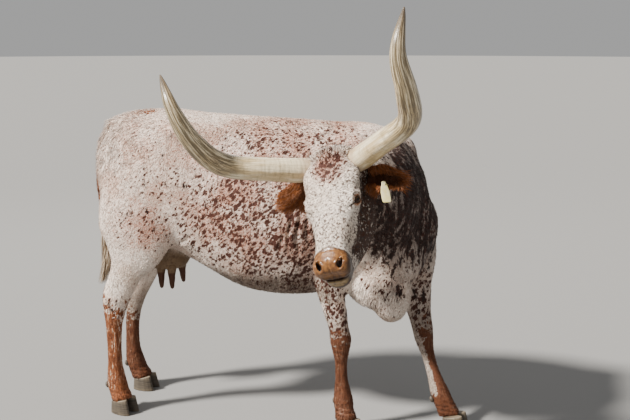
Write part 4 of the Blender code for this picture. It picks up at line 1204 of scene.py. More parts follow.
def markings(points: Array) -> dict:
    """Regions of the markings at points of the skin.

    Args:
        points: places, n by 3.

    Returns:
        Vector arrays: "coat_a" flecks, dark (patches that also carry painted shade), roan; "coat_b" red,
        bare, shade (painted shade and dark hair); "coat_c" ear, face, teat.
    """
    total = {kind: np.zeros(len(points)) for kind in Kind}
    for kind, marks in MARKS.items():
        for mark in marks:
            field = bulge(points, mark.centre, mark.radii) * mark.amount
            total[kind] = np.maximum(total[kind], np.minimum(field, 0.95))
    x, y, z = points.T
    # lower legs: red up to a level of their own, ragged, with a white stretch on the far fore leg
    rough = 0.03 * ripple(points, 0.045, 21) + 0.018 * ripple(points, 0.022, 22)
    fore = smooth(x, 0.1, 0.14)
    far_fore = smooth(x, 0.46, 0.5)
    far_hind = smooth(y, 0.17, 0.21)
    level = blend(blend(0.5, 0.38, far_hind), blend(0.44, 0.43, far_fore), fore)
    leg = fall(z + rough - level, -0.11, 0.11)
    inner = fall(x - (0.8 - 0.42 * z), -0.012, 0.006) * far_fore * smooth(z, 0.13, 0.17)
    spots = ridge(np.hypot(x + 0.66, (z - 0.38) * 0.45), 0.036)
    spots = spots * (1 - fore) * (1 - far_hind) * smooth(z, 0.3, 0.34)
    leg = leg * (1 - 0.95 * inner) * (1 - 0.62 * spots)
    total[Kind.RED] = np.maximum(total[Kind.RED], leg)
    local = HEAD.local(points)
    u, v, w = local.T
    on_face = HEAD.mask(points)
    # a smudge at the poll; bare nose, lips and chin; udder and teats
    smudge = bulge(local, (0.003, 0.07, 0.0), (0.075, 0.078, 0.11)) * on_face
    total[Kind.ROAN] = np.maximum(total[Kind.ROAN], 1.5 * smudge)
    total[Kind.FLECKS] = np.maximum(total[Kind.FLECKS], 1.1 * smudge)
    gap = w - mouth_line(v)
    upper = v - 0.3 * np.abs(u) - 0.25 * np.maximum(-w - 0.05, 0)
    bare = smooth(upper, 0.388, 0.42) * smooth(gap, -0.003, 0.003)
    chin = smooth(v, 0.428, 0.445) * fall(gap, -0.003, 0.001) * smooth(w, -0.152, -0.138)
    lips = np.maximum(bare, chin) * on_face
    udder = bulge(points, (-0.52, 0.191, 0.7), (0.15, 0.14, 0.13))
    udder = np.maximum(udder, (z < 0.7) * (np.abs(x + 0.52) < 0.1) * (np.abs(y - 0.191) < 0.085) * (z > 0.56))
    teat = fall(z, 0.64, 0.68) * udder
    ear = np.maximum(EAR.tone(points, Side.LEFT), EAR.tone(points, Side.RIGHT))
    # shade: the cheek beyond the face, dark hair with painted shade; darker hair on the other cheek and
    # a grey hatch low on the face; painted shade on the face's left half, under the belly, on the fore legs
    # and the far hind leg, and along the folds
    edge = 0.072 - 0.075 * smooth(v, 0.22, 0.42)
    cheek = smooth(u, edge - 0.024, edge + 0.012) * smooth(-w, 0.04 + 0.05 * smooth(v, 0.2, 0.4), 0.1)
    cheek = cheek * smooth(v, -0.02, 0.03) * (1 - 0.55 * smooth(v, 0.37, 0.42))
    other = smooth(-u, 0.07, 0.1) * smooth(-w, 0.06, 0.11)
    hatch = 0.42 * smooth(v, 0.22, 0.32) * fall(v, 0.39, 0.41)
    # left half of the face: painted shade; other cheek and hatch: darker hair
    shade = np.maximum(np.maximum(cheek, 0.45 * other), np.maximum(0.35 * smooth(u, 0.01, 0.08), hatch))
    shade = shade * on_face * (1 - ear)
    # painted shade under the belly
    belly = smooth(-z, -0.735, -0.655) * smooth(x, -0.38, -0.26) * fall(x, 0.26, 0.36) * (z > 0.58)
    # painted shade on the lower fore legs and the far hind leg
    lower = fall(z, 0.44, 0.56) * np.maximum(fore, far_hind)
    shade = np.maximum(np.maximum(shade, 0.46 * belly), 0.36 * lower)
    # painted shade along each fold
    for fold in FOLDS:
        reach, near, _ = fold.field(points)
        shade = np.maximum(shade, fold.paint * ridge(reach, 0.0062) * near)
    return {
        "coat_a": np.stack([total[Kind.FLECKS], total[Kind.DARK], total[Kind.ROAN]], 1),
        "coat_b": np.stack([total[Kind.RED], lips, shade], 1),
        "coat_c": np.stack([ear, on_face, np.maximum(udder * 0.5, teat)], 1),
    }


# the coat


@dataclass(frozen=True)
class Tufts:
    """Joined closed tufts: each a bent wedge of two three-cornered rings and a tip.

    The middle line leaves the skin, runs along the lie with a low arch and comes down to the
    tip; the section is a flat triangle with its ridge outwards. On the map for baking each has a
    small patch at its root's place on the skin's unwrap.
    """

    stations: int = 3
    patch: float = 0.003

    def build(self, name: str, roots: dict) -> Object:
        """One coat piece.

        Args:
            name: name of the piece.
            roots: arrays by name: place, normal, way, length, width, lift, uv and the markings.

        Returns:
            The object with its markings, its root places and its OFBake map.
        """
        place, normal, way = roots["place"], roots["normal"], roots["way"]
        side = unit(np.cross(normal, way))
        length, width, lift = (roots[k][:, None] for k in ("length", "width", "lift"))
        count, rings = len(place), self.stations - 1
        columns = []
        for n in range(self.stations):
            t = n / rings
            arch = lift * (math.sin(math.pi * min(t, 0.85)) + 0.55 * t) - 0.0015 * (n == 0)
            bend = roots["curl"][:, None] * t * t * side * length
            middle = place + way * length * t + normal * arch + bend
            if n == rings:
                columns.append(middle)
                continue
            half = width * (0.42 if n == 0 else 0.5 * (1 - t) ** 0.5 * 1.1)
            columns += [middle + side * half, middle + normal * half * 0.45, middle - side * half]
        points = np.stack(columns, 1)
        each = points.shape[1]
        faces = [(0, 2, 1)]
        for n in range(rings - 1):
            a, b = 3 * n, 3 * n + 3
            for j in range(3):
                k = (j + 1) % 3
                faces += [(a + j, a + k, b + k), (a + j, b + k, b + j)]
        tip, last = each - 1, 3 * (rings - 1)
        faces += [(last + j, last + (j + 1) % 3, tip) for j in range(3)]
        whole = (np.arange(count) * each)[:, None, None] + np.array(faces)[None]
        obj = facing_out(put_mesh(name, points.reshape(-1, 3), whole.reshape(-1, 3)))
        share = np.concatenate([np.repeat(np.arange(rings) / rings, 3), [1.0]])
        across = np.concatenate([np.tile([0.5, 0.0, -0.5], rings), [0.0]])
        patch = np.stack([across, share - 0.5], 1) * self.patch
        set_map(obj.data, (roots["uv"][:, None, :] + patch[None]).reshape(-1, 2))
        set_vectors(obj.data, "root", np.repeat(place, each, 0))
        for key in ("coat_a", "coat_b", "coat_c"):
            set_vectors(obj.data, key, np.repeat(roots[key], each, 0))
        set_strands(obj.data, share, roots["draw"])
        return obj


@dataclass
class Coat:
    """Short hair over the whole skin, longer where it breaks the form."""

    total: int = 132000
    in_piece: int = 19500
    seed: int = 4
    usual_length: float = 0.015
    usual_lift: float = 0.0015
    whorl: float = 0.165

    def build(self, skin: Object) -> list:
        """The coat in pieces, parted across the body.

        Args:
            skin: the skin with its unwrap.

        Returns:
            The pieces.
        """
        draw = np.random.default_rng(self.seed)
        roots = self._sample(skin.data, draw)
        order = np.argsort(roots["place"][:, 0] + 0.6 * roots["place"][:, 1], kind="stable")
        pieces = []
        for first in range(0, self.total, self.in_piece):
            chosen = order[first : first + self.in_piece]
            part = {key: value[chosen] for key, value in roots.items()}
            pieces.append(Tufts().build(f"coat_{len(pieces) + 1}", part))
        return pieces

    def _sample(self, mesh: Mesh, draw: np.random.Generator) -> dict:
        """Roots drawn over the skin by area and wanted closeness.

        Args:
            mesh: the skin.
            draw: source of the chance numbers.

        Returns:
            Arrays by name, one row to a root, as Tufts takes them.
        """
        points, corners = arrays(mesh)
        loops = pulled(mesh.loop_triangles, "loops", 3, np.int32)
        uv = pulled(mesh.uv_layers[BAKE_MAP].uv, "vector", 2)[loops]
        normals = normals_of(mesh)
        a, b, c = (points[corners[:, k]] for k in range(3))
        area = np.linalg.norm(np.cross(b - a, c - a), axis=1) / 2
        weight = area * self._closeness((a + b + c) / 3)
        chosen = draw.choice(len(area), self.total, p=weight / weight.sum())
        r = np.sqrt(draw.random(self.total))
        s = draw.random(self.total)
        bary = np.stack([1 - r, r * (1 - s), r * s], 1)

        def between(values: Array) -> Array:
            """Values of three corners, weighed."""
            return (values * bary[..., None]).sum(1)

        place, normal = between(points[corners[chosen]]), unit(between(normals[corners[chosen]]))
        roots = {"place": place, "normal": normal, "uv": between(uv[chosen]), **markings(place)}
        length, width, lift, stray = self._shape(place, normal, roots)
        roots["length"] = length * draw.uniform(0.75, 1.2, self.total)
        way = self._lie(place, normal, roots)
        side = np.cross(normal, way)
        angle = draw.normal(0, 1, self.total) * stray + 0.25 * ripple(place, 0.09, 31)
        roots["way"] = unit(way * np.cos(angle)[:, None] + side * np.sin(angle)[:, None])
        roots["width"] = width * draw.uniform(0.8, 1.2, self.total)
        roots["lift"] = lift * draw.uniform(0.5, 1.5, self.total)
        roots["curl"] = draw.normal(0, 0.12, self.total)
        roots["draw"] = draw.random(self.total)
        return roots

    def _closeness(self, points: Array) -> Array:
        """How many tufts an area gets against the flank.

        Args:
            points: places, n by 3.

        Returns:
            Shares: more on face, legs and ears, none on bare skin, in the eyes and on the soles.
        """
        marks = markings(points)
        _, v, w = HEAD.local(points).T
        ear, face, udder = marks["coat_c"].T
        want = 1.0 + 2.2 * face + 1.8 * (points[:, 2] < 0.55) + 2.6 * ear
        want = want * (1 - np.clip(marks["coat_b"][:, 1] * 1.5, 0, 1)) * (1 - np.clip(udder * 1.6, 0, 1))
        for side in Side:
            centre, gaze, _, _ = EYE.frame(side)
            off = points - centre
            inner = (np.linalg.norm(off - np.outer(off @ gaze, gaze), axis=1) < 0.0215) & (off @ gaze > 0)
            want = np.where(inner, 0.0, want)
        mouth = (v > 0.37) & (np.abs(w - mouth_line(v)) < 0.005) & (face > 0.1)
        return np.where(mouth | (points[:, 2] < 0.055), 0.0, want)

    def _shape(self, place: Array, normal: Array, marks: dict) -> tuple:
        """Size of the hair. Puts the mask of the ear's long lower edge in the marks as "skirt".

        Args:
            place: the roots.
            normal: the skin's normals there.
            marks: the markings there.

        Returns:
            Length, width, lift and straying at each root.
        """
        x, _, z = place.T
        ear, face, _ = marks["coat_c"].T
        down_face = HEAD.local(place)[:, 1]
        length = np.full(len(place), self.usual_length)
        lift = np.full(len(place), self.usual_lift)
        back = smooth(z, 1.28, 1.34) * (x < 0.36)
        rump = smooth(-x, 0.5, 0.68) * smooth(z, 1.1, 1.25)
        tail = smooth(-x, 0.745, 0.775) * smooth(z, 0.66, 0.72)
        edge = bulge(place, (0.5, 0.15, 0.6), (0.17, 0.14, 0.1))
        belly = smooth(-normal[:, 2], 0.35, 0.8) * (z > 0.5)
        length += 0.008 * rump + 0.003 * back + 0.01 * tail + 0.014 * edge + 0.006 * belly
        lift += 0.0035 * rump + 0.0008 * back + 0.0025 * edge + 0.001 * belly + 0.001 * tail
        low = fall(z, 0.4, 0.66)
        length = length * (1 - 0.45 * low) + 0.005 * bulge(place, (0.0, 0.19, 0.1), (2.0, 1.0, 0.05))
        lift = lift * (1 - 0.5 * low)
        poll = smooth(-down_face, -0.06, 0.0) * face
        short = 1 - smooth(down_face, 0.1, 0.3) * 0.25
        length = blend(length, 0.0095 * short + 0.014 * poll, face)
        lift = blend(lift, 0.0012 + 0.004 * poll, face)
        on_ear = smooth(ear, 0.1, 0.5)
        inner = np.zeros(len(place))
        skirt = np.zeros(len(place))
        for side in Side:
            root, ahead, facing, beside = EAR.axes(side)
            share = (place - root) @ ahead / EAR.length
            front = smooth(normal @ facing, -0.2, 0.3) * fall(share, 0.45, 0.72)
            low = (place - root) @ beside * (-1 if beside[2] > 0 else 1) / EAR.half(share)
            rim = smooth(low, 0.15, 0.6) * fall(share, 0.42, 0.62) * EAR.mask(place, side)
            inner, skirt = np.maximum(inner, on_ear * front), np.maximum(skirt, rim)
        marks["skirt"] = skirt
        length = blend(length, 0.01 + 0.03 * np.maximum(inner, 1.1 * skirt), on_ear)
        lift = blend(lift, 0.0012 + 0.0045 * inner, on_ear)
        _, front, _, hang, _, _ = EarTag().axes()
        apart = np.linalg.norm(place - (front + 0.025 * hang), axis=1)
        length = length * (0.35 + 0.65 * smooth(apart, 0.035, 0.062))
        width = 0.0013 + 0.065 * length - 0.0004 * face - 0.0008 * on_ear
        stray = 0.13 + 0.1 * rump + 0.15 * poll + 0.08 * on_ear
        return length, width, lift, stray

    def _lie(self, place: Array, normal: Array, marks: dict) -> Array:
        """Way that the hair lies: back and down the trunk, down the legs, away from the whorl
        between the eyes, and out along the ears; laid into the surface.

        Args:
            place: the roots.
            normal: the skin's normals there.
            marks: the markings there, with "skirt".

        Returns:
            Ways of length one.
        """
        x, _, z = place.T
        count = len(place)
        trunk = np.tile([-1.0, 0.0, -0.95], (count, 1))
        top = smooth(normal[:, 2], 0.5, 0.9)[:, None]
        trunk = blend(trunk, np.array([-1.0, 0.0, 0.0]), top)
        legs = smooth(-z, -0.8, -0.62)[:, None]
        rear = (smooth(-x, 0.6, 0.72) * smooth(-z, -1.36, -1.25))[:, None]
        down = np.array([-0.12, 0.0, -1.0])
        way = blend(trunk, down, np.maximum(legs, rear))
        neck = bulge(place, (0.52, -0.02, 1.06), (0.24, 0.36, 0.4))[:, None]
        way = blend(way, np.array([0.05, 0.55, -0.85]), neck)
        u, v, w = HEAD.local(place).T
        below = v - self.whorl
        away = np.stack([2.2 * u, below * 2.0, -0.35 - 2.0 * np.abs(w) * (np.abs(u) > 0.07)], 1)
        swirl = np.stack([-below, u, np.zeros(count)], 1) * (ridge(np.hypot(u, below), 0.05) * 1.5)[:, None]
        way = blend(way, unit(away + swirl) @ HEAD.axes(), marks["coat_c"][:, 1:2])
        for side in Side:
            _, ahead, _, beside = EAR.axes(side)
            mask = EAR.mask(place, side)[:, None]
            root = EAR.middle(side, np.zeros(1))[0]
            off = (place - root) @ beside
            share = (place - root) @ ahead / EAR.length
            hang = np.outer(0.35 + 1.5 * fall(share, 0.35, 0.75), [0.0, 0.0, -1.0])
            way = blend(way, ahead + np.outer(np.sign(off), beside) * 0.3 + hang, mask)
        free = 0.85 * marks["skirt"][:, None]
        way = blend(unit(way), np.array([0.0, -0.3, -1.0]), free)
        way = way - normal * np.einsum("ij,ij->i", way, normal)[:, None] * (1 - free)
        return unit(way)


# finishes of skin and coat


@dataclass(frozen=True)
class Hide:
    """Colours of the markings, and of the painted shade laid into them."""

    white: tuple = (0.88, 0.79, 0.7)
    cream: tuple = (0.66, 0.51, 0.37)
    pink: tuple = (0.37, 0.17, 0.115)
    fleck: tuple = (0.052, 0.012, 0.006)
    red: tuple = (0.27, 0.09, 0.034)
    dark: tuple = (0.018, 0.008, 0.006)
    # grey: grey hair of the face, and painted shade on its shaded side and under the dark patches
    grey: tuple = (0.13, 0.094, 0.082)
    # brown: hair of the cheek, and painted shade on the shaded lower legs
    brown: tuple = (0.072, 0.026, 0.013)
    ear: tuple = (0.29, 0.092, 0.026)
    pad: tuple = (0.215, 0.093, 0.028)
    pad_dark: tuple = (0.105, 0.043, 0.018)
    lip: tuple = (0.045, 0.022, 0.012)
    chin: tuple = (0.25, 0.165, 0.07)
    mouth: tuple = (0.02, 0.01, 0.007)
    nostril: tuple = (0.012, 0.006, 0.005)
    lid: tuple = (0.3, 0.105, 0.03)
    tear: tuple = (0.03, 0.014, 0.009)
    udder: tuple = (0.175, 0.112, 0.062)
    wrinkle: tuple = (0.105, 0.06, 0.036)
    teat: tuple = (0.07, 0.028, 0.014)
    # belly: painted shade under the belly, on the shaded legs and in the folds
    belly: tuple = (0.12, 0.08, 0.052)

    def colour(self, graph: Graph, place: Signal) -> tuple:
        """Colour of the markings at a place.

        Args:
            graph: the material.
            place: vector that the patterns are read at.

        Returns:
            The colour, the mask of bare skin and that of the udder.
        """
        flecks, dark, roan = graph.marks("coat_a")
        red, bare, shade = graph.marks("coat_b")
        ear, face, teat = graph.marks("coat_c")
        sockets = {"Vector": place, "Scale": 130.0, "Detail": 1.0}
        wobble = graph.node("ShaderNodeTexNoise", {}, sockets, "Color")
        ragged = graph.scaled(graph.vector("SUBTRACT", wobble, (0.5, 0.5, 0.5)), (0.012, 0.012, 0.012))
        slant = graph.mapped(graph.vector("ADD", place, ragged), (1.55, 1.1, 0.95), -0.87)
        broad = graph.noise(place, 7.0, 3.0)
        small = graph.noise(slant, 112.0, 1.5, 0.5)
        larger = graph.noise(slant, 64.0, 2.0, 0.55)
        fine = graph.noise(place, 210.0, 1.0)
        grain = graph.noise(place, 120.0, 2.0)
        threads = graph.noise(graph.scaled(place, (1.0, 0.5, 0.35)), 190.0, 2.5)
        upright = graph.noise(graph.scaled(place, (1.0, 1.0, 0.16)), 150.0, 3.0, 0.6)
        drawn_down = graph.mapped(place, (1.0, 1.0, 0.42))
        # white ground with cream, pinkish roan and grey hair, with painted shade laid over it: grey on the
        # face's shaded side, the belly colour under the belly, on the shaded legs and in the folds, and grey
        # under the dark patches
        cream = (broad.step(0.42, 0.66) * 0.35 + (1 - face) * 0.05).least(1.0)
        wash = roan * 0.95 + 0.24 * (1 - face) + flecks * 0.26
        wash = wash * (0.45 + broad.step(0.35, 0.65) * 0.6) * (0.5 + 0.5 * fine.step(0.42, 0.62))
        thin = fine.step(0.53, 0.62) * (0.58 + roan * 0.42) * (1 - face * 0.55)
        # painted shade off the face: under the belly, on the shaded legs and along the folds
        low = (shade * (1 - face) * 2.0).least(0.9) * (0.7 + 0.3 * grain.step(0.4, 0.6))
        colour = graph.over(
            self.white,
            (self.cream, cream),
            (self.pink, wash.least(1.0) * 0.95),
            (self.pink, thin * 0.8),
            # grey hatch of the face, stronger as painted shade where the shade mask is high
            (self.grey, face * (0.22 + 0.6 * shade) * grain.step(0.42, 0.6)),
            (self.belly, low),
            # painted shade: grey under the dark patches of the shaded neck and shoulder
            (self.grey, dark * (1 - face) * 0.92),
        )
        # flecks, dark patches that also carry painted shade, rust of the lower legs, the cheek's dark hair
        # with painted shade, painted shade in the folds, and ears
        tiny = graph.spots(slant, 96.0, flecks + 0.14 + roan * 0.14, 0.5)
        spots = graph.spots(slant, 58.0, flecks * 0.94, 0.56)
        face_spots = (grain + 0.05 * shade).step(0.57, 0.62) * face * 0.8
        patches = (graph.noise(drawn_down, 34.0, 4.0, 0.7) + dark * 0.24).step(0.63, 0.69)
        flecked = (small * 0.5 + larger * 0.5 - 0.5) * 3.0
        reds = (red + flecked * (1 - (red - 0.5) * (red - 0.5) * 3.6)).step(0.46, 0.56)
        rust = graph.over(
            self.red,
            (self.fleck, upright.step(0.46, 0.66) * 0.7),
            # painted shade on the lower fore legs and the far hind leg
            (self.brown, (shade * 2.0).least(0.8)),
            (self.cream, (1 - upright.step(0.34, 0.46)) * broad.step(0.4, 0.54) * (0.8 - shade * 1.9)),
        )
        # dark streaks where the shade mask is high: the cheek's dark hair with painted shade, and painted
        # shade in the folds
        cheek = (threads + shade * 0.46).step(0.79, 0.89) * 0.96
        # ear hair, darker as painted shade in the hollow
        brown = graph.mix(self.dark, self.ear, ear.step(0.5, 0.8))
        brown = graph.mix(brown, self.dark, threads.step(0.5, 0.68) * 0.45)
        colour = graph.over(
            colour,
            (self.fleck, tiny.most(spots).most(face_spots) * 0.97),
            (graph.mix(self.dark, self.fleck, grain.step(0.5, 0.7)), patches * 0.98),
            (rust, reds),
            (graph.mix(self.dark, self.brown, grain.step(0.36, 0.6)), cheek),
            (brown, ear.step(0.1, 0.35)),
            (
                graph.mix(self.udder, self.wrinkle, grain.step(0.42, 0.68) * 0.6),
                (teat * 2.0).least(1.0).step(0.1, 0.7),
            ),
        )
        return colour, bare, teat

    def bare_parts(self, graph: Graph, place: Signal, colour: Signal, bare: Signal, teat: Signal) -> Signal:
        """Colour with nose, lips, lids and udder painted in.

        Args:
            graph: the material.
            place: object coordinates.
            colour: colour of the coat's markings.
            bare: mask of bare skin.
            teat: mask of the udder.

        Returns:
            The colour.
        """
        off = graph.vector("SUBTRACT", place, HEAD.poll)
        u, v, w = (graph.dot(off, tuple(axis / HEAD.scale)) for axis in HEAD.axes())
        mottle = graph.noise(place, 85.0, 3.0)
        gap = w + 0.092 - (v - 0.44) * 0.118
        chin = graph.over(
            self.chin,
            (self.lip, mottle.step(0.46, 0.62) * 0.6),
            (self.lip, (u * u / 0.0018 + (gap + 0.02) * (gap + 0.02) / 0.0004).step(0.5, 1.2)),
        )
        pad = graph.over(
            self.pad,
            (self.pad_dark, mottle.step(0.38, 0.66) * 0.85),
            (self.lip, graph.noise(place, 260.0, 1.0).step(0.7, 0.74) * 0.7),
            (self.lip, (1 - gap.step(0.004, 0.026)) * 0.85),
            # painted shade on the muzzle's left side
            (self.lip, (u - w * 0.35).step(0.062, 0.082) * 0.92),
            (chin, 1 - gap.step(-0.006, -0.001)),
            (self.lip, bare.step(0.1, 0.35) * (1 - bare.step(0.55, 0.95)) * 0.75),
        )
        between_lips = (gap * gap * -90000.0).exp() * v.step(0.37, 0.38)
        colour = graph.over(colour, (pad, bare.step(0.15, 0.6)), (self.mouth, between_lips))
        for side in Side:
            centre, _, long_way, high = EYE.frame(side)
            near = graph.vector("SUBTRACT", place, tuple(centre))
            length = graph.length(near)
            along, over = graph.dot(near, tuple(long_way)), graph.dot(near, tuple(high))
            flat = (along * along * 0.4 + over * over) ** 0.5
            ring = (1 - (flat + (mottle - 0.5) * 0.008).step(0.015, 0.026)) * (1 - length.step(0.032, 0.042))
            edge = (1 - flat.step(0.0115, 0.0155)) * (1 - length.step(0.028, 0.034))
            reach = along * EYE.tear[0] + over * EYE.tear[1]
            beside = over * EYE.tear[0] - along * EYE.tear[1]
            tear = (beside * beside * -52000.0).exp() * reach.step(0.014, 0.02)
            tear = tear * (1 - reach.step(0.04, 0.068)) * (1 - length.step(0.066, 0.076))
            layers = (self.lid, ring * 0.9), (self.lip, edge * 0.92), (self.tear, tear * 0.9)
            colour = graph.over(colour, *layers)
        for sign in (-1.0, 1.0):
            x, y = u * sign - 0.04, v - 0.466
            p, q = x * 0.866 + y * 0.5, y * 0.866 - x * 0.5
            wide = (0.0086 + q * 0.2).most(0.003)
            hole = (p * p / (wide * wide) + q * q / 0.00031).step(0.55, 1.25)
            colour = graph.mix(colour, self.nostril, (1 - hole) * (w + 0.075).step(0.0, 0.01))
        return graph.mix(colour, self.teat, teat.step(0.62, 0.95))


@dataclass(frozen=True)
class SkinFinish:
    """Skin under the coat, and the bare skin of nose, lips, lids and udder."""

    hide: Hide = Hide()
    shade_between_hairs: tuple = (0.02, 0.012, 0.01)

    def make(self) -> Material:
        """The material."""
        graph = Graph("skin_and_short_hair")
        place = graph.place()
        colour, bare, teat = self.hide.colour(graph, place)
        colour = self.hide.bare_parts(graph, place, colour, bare, teat)
        strands = graph.noise(graph.mapped(place, (4.5, 1.0, 1.0), -0.76), 620.0, 2.0, 0.6)
        # painted shade between the hairs, along the strands
        shaded = graph.mix(colour, self.shade_between_hairs, 0.3)
        pebbles = graph.cells(place, 330.0)
        wet = bare.step(0.4, 0.8) * (1 - teat.step(0.2, 0.5))
        height = strands * 0.5 * (1 - wet) + pebbles * 0.55 * wet
        return graph.finish(
            Base_Color=graph.mix(colour, shaded, strands.step(0.4, 0.7) * (1 - bare)),
            Roughness=0.62 - wet * 0.3,
            Coat_Weight=wet * 0.3,
            Coat_Roughness=0.16,
            Specular_IOR_Level=0.2,
            Normal=graph.bump(height, 0.55, 0.0016),
        )


@dataclass(frozen=True)
class CoatFinish:
    """Hair of the coat, coloured by the place of its root, darker at the root as painted shade among
    the hairs, with a painted glint on some light strands.
    """

    hide: Hide = Hide()
    root: tuple = (0.03, 0.018, 0.014)
    glint: tuple = (1.0, 0.96, 0.92)

    def make(self) -> Material:
        """The material."""
        graph = Graph("coat_hair")
        both = graph.vector("ADD", graph.attribute("root"), graph.place())
        colour, _, _ = self.hide.colour(graph, graph.scaled(both, (0.5, 0.5, 0.5)))
        along, draw, _ = graph.marks("strand")
        # painted shade towards the root
        colour = graph.mix(colour, graph.mix(colour, self.root, 0.45), (1 - along) * 0.55)
        light = graph.parts(colour)[0]
        colour = graph.mix(colour, self.glint, light * draw.step(0.35, 1.0) * 0.22)
        return graph.finish(Base_Color=colour, Roughness=0.6, Specular_IOR_Level=0.1)


# horns


@dataclass
class Horns:
    """Two horns: a tube carried along a smooth curve, with growth rings near the skull."""

    path: tuple = (
        (0.07, 0.018, -0.07), (0.108, 0.031, -0.046), (0.237, 0.067, 0.062), (0.372, 0.07, 0.149),
        (0.415, 0.06, 0.29), (0.432, 0.004, 0.424), (0.475, -0.136, 0.48),
    )
    turn: float = -2.0
    shares: tuple = (0.0, 0.1, 0.25, 0.45, 0.6, 0.75, 0.88, 0.96, 1.0)
    radii: tuple = (0.046, 0.047, 0.044, 0.043, 0.04, 0.032, 0.021, 0.0105, 0.0026)
    stations: int = 300
    around: int = 64
    curve_points: int = 600
    line_rounds: int = 60
    radius_rounds: int = 30
    ring_gap: float = 0.019
    fine_ring_gap: float = 0.0061

    def build(self, side: Side) -> Object:
        """One horn: circles of a smooth radius, ridged by rings that fade towards the tip and by
        fine grooves along it.

        Args:
            side: which horn.

        Returns:
            The horn, with its "grain": cosine and sine round it and metres along it.
        """
        curve = spline([[side.value * p[0], p[1], p[2]] for p in self.path], self.curve_points)
        steps = np.linalg.norm(np.diff(curve, axis=0), axis=1)
        share = np.concatenate([[0], np.cumsum(steps)]) / steps.sum()
        even = np.linspace(0, 1, self.stations)
        local = np.stack([np.interp(even, share, curve[:, k]) for k in range(3)], 1)
        line = softened(HEAD.world(local, 1.0, self.turn), self.line_rounds)
        total = float(np.linalg.norm(np.diff(line, axis=0), axis=1).sum())
        ahead = unit(np.gradient(line, axis=0))
        start = HEAD.axes()[1]
        first = np.empty_like(line)
        first[0] = unit(start - ahead[0] * (start @ ahead[0]))
        for n in range(1, len(line)):
            first[n] = unit(first[n - 1] - ahead[n] * (first[n - 1] @ ahead[n]))
        second = np.cross(ahead, first)
        radius = softened(np.interp(even, self.shares, self.radii), self.radius_rounds)
        angle = full_turn(self.around)[None, :]
        along = even[:, None] * total
        fade = np.clip(1 - even[:, None] * 2.2, 0.0, 1.0)
        wander = 0.006 * np.sin(angle + 3.0 * along) + 0.003 * np.sin(2 * angle + 17 * along)
        uneven = along + wander + 0.004 * np.sin(31 * along) + 0.003 * np.sin(73 * along + 1.0)
        rings = wave(uneven, self.ring_gap) * 0.0004 * fade
        rings = rings + wave(uneven, self.fine_ring_gap) * 0.00022 * fade
        grooves = 0.0003 * np.sin(angle * 17 + 2.0 * np.sin(along * 9)) * even[:, None]
        flat = radius[:, None] * (1 + 0.03 * np.cos(2 * angle + 4 * along)) + rings + grooves
        flat[-1] = radius[-1]
        circles = rings_about(line, first[:, None, :], second[:, None, :], flat)
        obj = tube(f"horn_{side.name.lower()}_shell", circles)
        grain = np.stack([np.cos(angle) + 0 * along, np.sin(angle) + 0 * along, along + 0 * angle], 2)
        set_vectors(obj.data, "grain", np.vstack([grain.reshape(-1, 3), [1, 0, 0], [1, 0, total]]))
        return obj


@dataclass(frozen=True)
class HornFinish:
    """Keratin: ivory with long grey-brown streaks, paler at the skull, smooth at the tip."""

    ivory: tuple = (0.6, 0.455, 0.245)
    pale: tuple = (0.9, 0.79, 0.56)
    olive: tuple = (0.14, 0.102, 0.048)
    brown: tuple = (0.06, 0.034, 0.016)
    tip: tuple = (0.18, 0.12, 0.075)
    tip_dark: tuple = (0.036, 0.025, 0.018)
    root: tuple = (0.34, 0.22, 0.15)

    def make(self) -> Material:
        """The material: noises on the grain, pulled out along the horn."""
        graph = Graph("horn_keratin")
        grain = graph.attribute("grain")
        along = graph.parts(grain)[2]
        streaks, hairs, broad, bands = (
            graph.noise(graph.mapped(grain, scale), size, detail, 0.6)
            for scale, size, detail in (
                ((2.6, 2.6, 3.0), 3.0, 5.0),
                ((13.0, 13.0, 9.0), 3.0, 3.0),
                ((0.8, 0.8, 4.0), 2.0, 2.0),
                ((0.5, 0.5, 46.0), 2.0, 2.0),
            )
        )
        middle = along.step(0.2, 0.42)
        colour = graph.over(
            self.ivory,
            (self.pale, broad.step(0.38, 0.62) * 0.8),
            (self.olive, streaks.step(0.42, 0.56) * (0.2 + middle * 0.72)),
            (self.brown, hairs.step(0.5, 0.62) * (0.24 + middle * 0.66)),
            (self.pale, (1 - streaks.step(0.3, 0.42)) * middle * 0.8),
            (self.olive, bands.step(0.52, 0.66) * (1 - along.step(0.25, 0.5)) * 0.28),
            (graph.mix(self.tip, self.tip_dark, streaks.step(0.38, 0.54)), along.step(0.6, 0.84) * 0.9),
            (self.root, (1 - along.step(0.06, 0.105)) * 0.5),
        )
        return graph.finish(
            Base_Color=colour,
            Roughness=0.34 + hairs.step(0.45, 0.65) * 0.14 - along.step(0.2, 0.6) * 0.1,
            Normal=graph.bump(hairs * 0.6 + bands * 0.5 * (1 - along.step(0.3, 0.6)), 0.3, 0.0012),
            Coat_Weight=0.25,
            Coat_Roughness=0.18,
        )


# eyes


